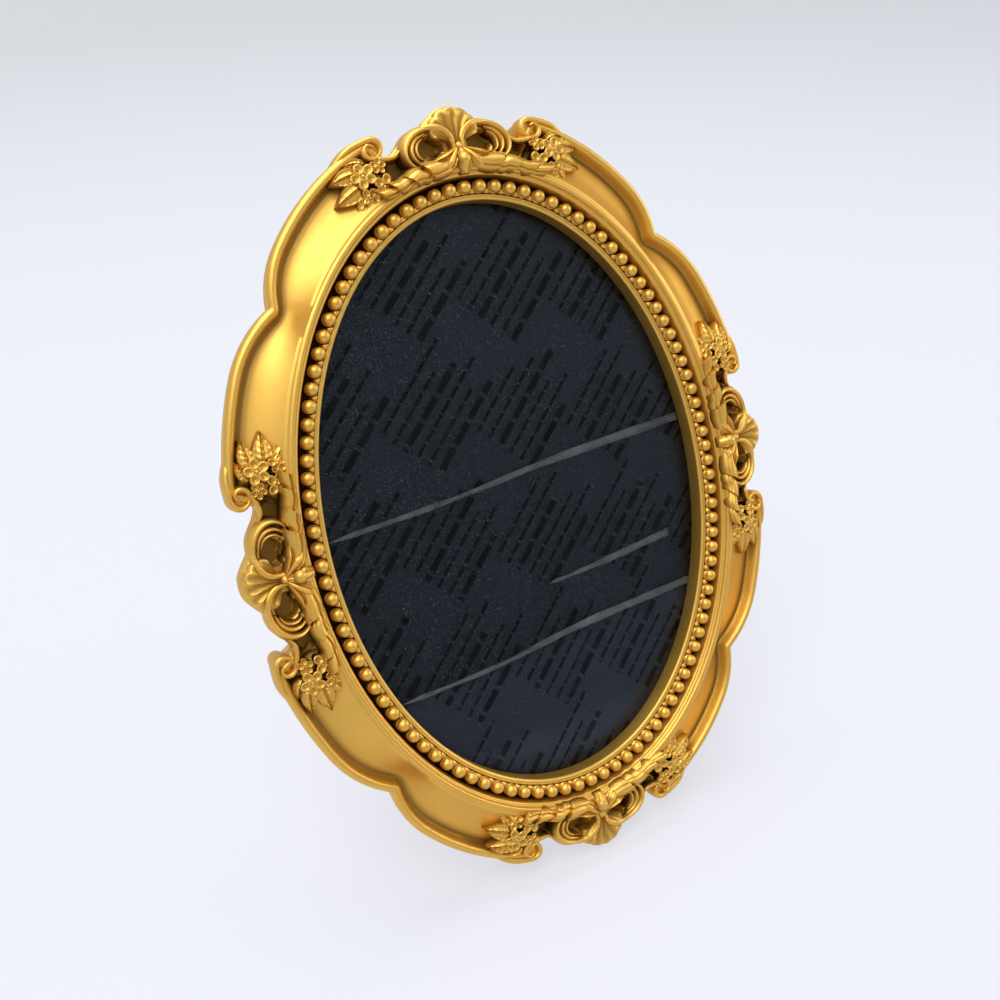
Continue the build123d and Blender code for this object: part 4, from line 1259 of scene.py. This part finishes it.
class FRAME_OT_back(Step, bpy.types.Operator):
    """Dress the back board, easel leg, hinge, turn buttons and hangers"""

    bl_idname = "frame.back"
    bl_label = "Back and leg"

    def make(self, face, scene):
        for entry in frame["record"]["subparts"]:
            if entry["material_slot"] in ("flocked_board", "plated_steel", "brass_rivet", "black_steel"):
                dress_node(entry["node"], entry["material_slot"])
        self.make_fasteners(face)
        self.make_rings(face)

    def make_fasteners(self, face):
        tree = fastener_tree()
        leg_turn = math.radians(LEG_LEAN)
        leg_out = np.array((0, math.cos(leg_turn), math.sin(leg_turn)))
        leg_down = np.array((0, math.sin(leg_turn), -math.cos(leg_turn)))
        hinge = face.world(0, HINGE_ALONG, HINGE_HEIGHT)
        from_hinge = leg_down * RIVET_ALONG + leg_out * LEG_SEAT
        leg = [hinge + (from_hinge + RIGHT * side * RIVET_ASIDE) * MM for side in (-1, 1)]
        screws = [face.offset(math.radians(angle), BUTTON_INSET) for angle in BUTTON_ANGLES]
        board = [(side * RIVET_ASIDE, HINGE_ALONG + RIVET_ALONG) for side in (-1, 1)]
        screws, board, hangers = (
            [face.world(*spot, seat) for spot in spots]
            for spots, seat in ((screws, SCREW_SEAT), (board, BOARD_SEAT), (STRAP_RIVETS, HANGER_SEAT))
        )
        for node, slot_name, places, out, body, sizes in (
            ("turn_button_screws", "plated_steel", screws, -face.out, "frame", SCREW),
            ("board_rivets", "brass_rivet", board, -face.out, "frame", {**RIVET, "Shank Length": 0.0032}),
            ("hanger_rivets", "brass_rivet", hangers, -face.out, "frame", {**RIVET, "Shank Length": 0.0031}),
            ("leg_rivets", "brass_rivet", leg, leg_out, "leg", {**RIVET, "Shank Length": 0.0032}),
        ):
            mesh = bpy.data.meshes.new(node)
            mesh.from_pydata([tuple(place) for place in places], [], [])
            values = {**sizes, "Upright": tuple(out), "Finish": finishes()[slot_name]}
            piece = realised(f"{node}_domed", new_object(node, mesh), tree, values)
            piece.data.set_sharp_from_angle(angle=math.radians(40))
            take_part(piece, body, slot_name, node)

    def make_rings(self, face):
        length, reach = RING_SIZE
        aside = length / 2 - RING_CORNER
        loop = np.vstack([
            arc((x, y), RING_CORNER, math.radians(start), math.radians(start + 90), 10)
            for x, y, start in (
                (aside, RING_CORNER, -90), (aside, reach - RING_CORNER, 0),
                (-aside, reach - RING_CORNER, 90), (-aside, RING_CORNER, 180),
            )
        ])
        travel = np.roll(loop, -1, axis=0) - np.roll(loop, 1, axis=0)
        travel /= np.linalg.norm(travel, axis=1)[:, None]
        normal = np.column_stack([travel[:, 1], -travel[:, 0]])
        turns = np.linspace(0, 2 * math.pi, WIRE_SIDES, endpoint=False)[:, None]
        wire = loop[:, None] + normal[:, None] * RING_WIRE * np.cos(turns)
        for name, spot in RINGS:
            across, hang = (RIGHT, np.array((0.0, 0.0, -1.0))) if name == "top" else (face.up, -face.out)
            points = wire[..., :1] * across + wire[..., 1:] * hang
            points = points + RING_WIRE * np.sin(turns) * np.cross(across, hang)
            add_piece(
                f"{name}_ring_wire", (face.world(*spot, TUBE_HEIGHT) + points * MM).reshape(-1, 3),
                ring_faces(len(loop), WIRE_SIDES), "plated_steel", f"{name}_hanger_ring", body=f"{name}_ring",
            )


# Where the camera stands on the frame's face, in millimetres, and its axes in the face's directions
CAMERA_PLACE = (-127.1, 53.8, 251.4)
CAMERA_RIGHT = (0.8674, -0.2118, 0.4503)
CAMERA_DOWN = (-0.2704, -0.9603, 0.0690)
CAMERA_LENS = 36.03


class FRAME_OT_stage(Step, bpy.types.Operator):
    """Set up the pale floor, the soft lights and the camera"""

    bl_idname = "frame.stage"
    bl_label = "Stage"

    def make(self, face, scene):
        self.make_camera(scene, face)
        self.make_floor(scene)
        self.make_lights(scene)
        scene.view_settings.view_transform = "Standard"

    def make_camera(self, scene, face):
        data = bpy.data.cameras.new("camera")
        data.lens = CAMERA_LENS
        data.clip_start, data.clip_end = 0.01, 50
        camera = new_object("camera", data)
        axes = np.column_stack([RIGHT, face.up, face.out])
        right = Vector(axes @ CAMERA_RIGHT).normalized()
        up = -Vector(axes @ CAMERA_DOWN)
        back = right.cross(up).normalized()
        up = back.cross(right)
        turn = Matrix((right, up, back)).transposed()
        camera.matrix_world = Matrix.Translation(face.world(*CAMERA_PLACE)) @ turn.to_4x4()
        scene.camera = camera

    def make_floor(self, scene):
        mesh = bpy.data.meshes.new("floor")
        half, reach, rise, bend = 3.0, 2.4, 2.6, 0.6
        section = [(-half, 0.0), *arc((reach - bend, bend), bend, -math.pi / 2, 0, 9), (reach, rise)]
        verts = [(x, y, z) for y, z in section for x in (-half, half)]
        faces = [(2 * i, 2 * i + 1, 2 * i + 3, 2 * i + 2) for i in range(len(section) - 1)]
        mesh.from_pydata(verts, [], faces)
        mesh.shade_smooth()
        mesh.materials.append(self.paper_sweep(scene.frame_colours))
        floor = new_object("floor", mesh)

    def paper_sweep(self, colours):
        """White paper that takes the frame's shadow, and shows as pale as in daylight."""
        sweep = Surface("paper_sweep")
        # Towards the back the paper turns greyer: painted shade where less light falls
        tone = sweep.mix(sweep.axis("Y").above(0.1, 1.5), tuple(colours.floor), tuple(colours.shaded_backdrop))
        paper = sweep.finish({"Roughness": 0.9, "Specular IOR Level": 0.1}, {"Base Color": tone})
        glow = sweep.made("ShaderNodeEmission", Color=tone, Strength=1.0)
        both = sweep.shader_between(sweep.seen_rays() * 0.70, sweep.shader.outputs[0], glow)
        sweep.join(both, sweep.tree.nodes["Material Output"].inputs["Surface"])
        return paper

    def make_lights(self, scene):
        world = bpy.data.worlds.new("studio")
        world.use_nodes = True
        sky = Shading(world.node_tree, "Generated")
        light = world.node_tree.nodes["Background"]
        sky.join((0.93, 0.96, 1.0, 1.0), light.inputs["Color"])
        sky.join(0.34, light.inputs["Strength"])
        shaded_backdrop = (*scene.frame_colours.shaded_backdrop, 1.0)
        seen = sky.made("ShaderNodeBackground", Color=shaded_backdrop, Strength=1.0)
        room = (sky.axis("Z") * 0.38 + sky.axis("Y") * 0.16 + 0.56).clamped()
        dim = sky.made("ShaderNodeBackground", Color=(0.95, 0.97, 1.0, 1.0), Strength=room)
        glossy = sky.node("ShaderNodeLightPath").outputs["Is Glossy Ray"]
        mirrored = sky.shader_between(glossy, seen, dim)
        both = sky.shader_between(sky.seen_rays(), light.outputs[0], mirrored)
        sky.join(both, world.node_tree.nodes["World Output"].inputs["Surface"])
        scene.world = world
        for name, place, target, size, power in (
            ("key", (-0.54, -0.32, 1.28), (0, 0, 0.1), (0.85, 0.85), 9.5),
            ("fill", (1.1, -0.35, 0.5), (0, 0, 0.1), (0.6, 0.6), 3.4),
            ("top", (0.0, 0.5, 1.3), (0, 0, 0.05), (0.9, 0.5), 9.0),
        ):
            data = bpy.data.lights.new(name, "AREA")
            data.shape = "RECTANGLE"
            data.size, data.size_y = size
            data.energy = power
            lamp = new_object(name, data)
            lamp.location = place
            lamp.rotation_euler = (Vector(target) - Vector(place)).to_track_quat("-Z", "Y").to_euler()


OPERATORS = (
    FRAME_OT_stage, FRAME_OT_moulding, FRAME_OT_beads, FRAME_OT_ornaments, FRAME_OT_window, FRAME_OT_back,
)


class FRAME_PT_panel(bpy.types.Panel):
    """Sizes, colours and steps of the frame"""

    bl_idname = "FRAME_PT_panel"
    bl_label = "Oval Picture Frame"
    bl_space_type = "VIEW_3D"
    bl_region_type = "UI"
    bl_category = "Frame"

    def draw(self, context):
        for group in (context.scene.frame_sizes, context.scene.frame_colours):
            for name in group.__annotations__:
                self.layout.prop(group, name)
        for operator in OPERATORS:
            self.layout.operator(operator.bl_idname)


CLASSES = (FrameSettings, FrameColours, *OPERATORS, FRAME_PT_panel)


def register():
    for cls in CLASSES:
        bpy.utils.register_class(cls)
    bpy.types.Scene.frame_sizes = bpy.props.PointerProperty(type=FrameSettings)
    bpy.types.Scene.frame_colours = bpy.props.PointerProperty(type=FrameColours)


def unregister():
    del bpy.types.Scene.frame_colours
    del bpy.types.Scene.frame_sizes
    for cls in reversed(CLASSES):
        bpy.utils.unregister_class(cls)


def main():
    register()
    bpy.ops.frame.stage()
    bpy.ops.frame.moulding()
    bpy.ops.frame.beads()
    bpy.ops.frame.ornaments()
    bpy.ops.frame.window()
    bpy.ops.frame.back()


if __name__ == "__main__":
    main()
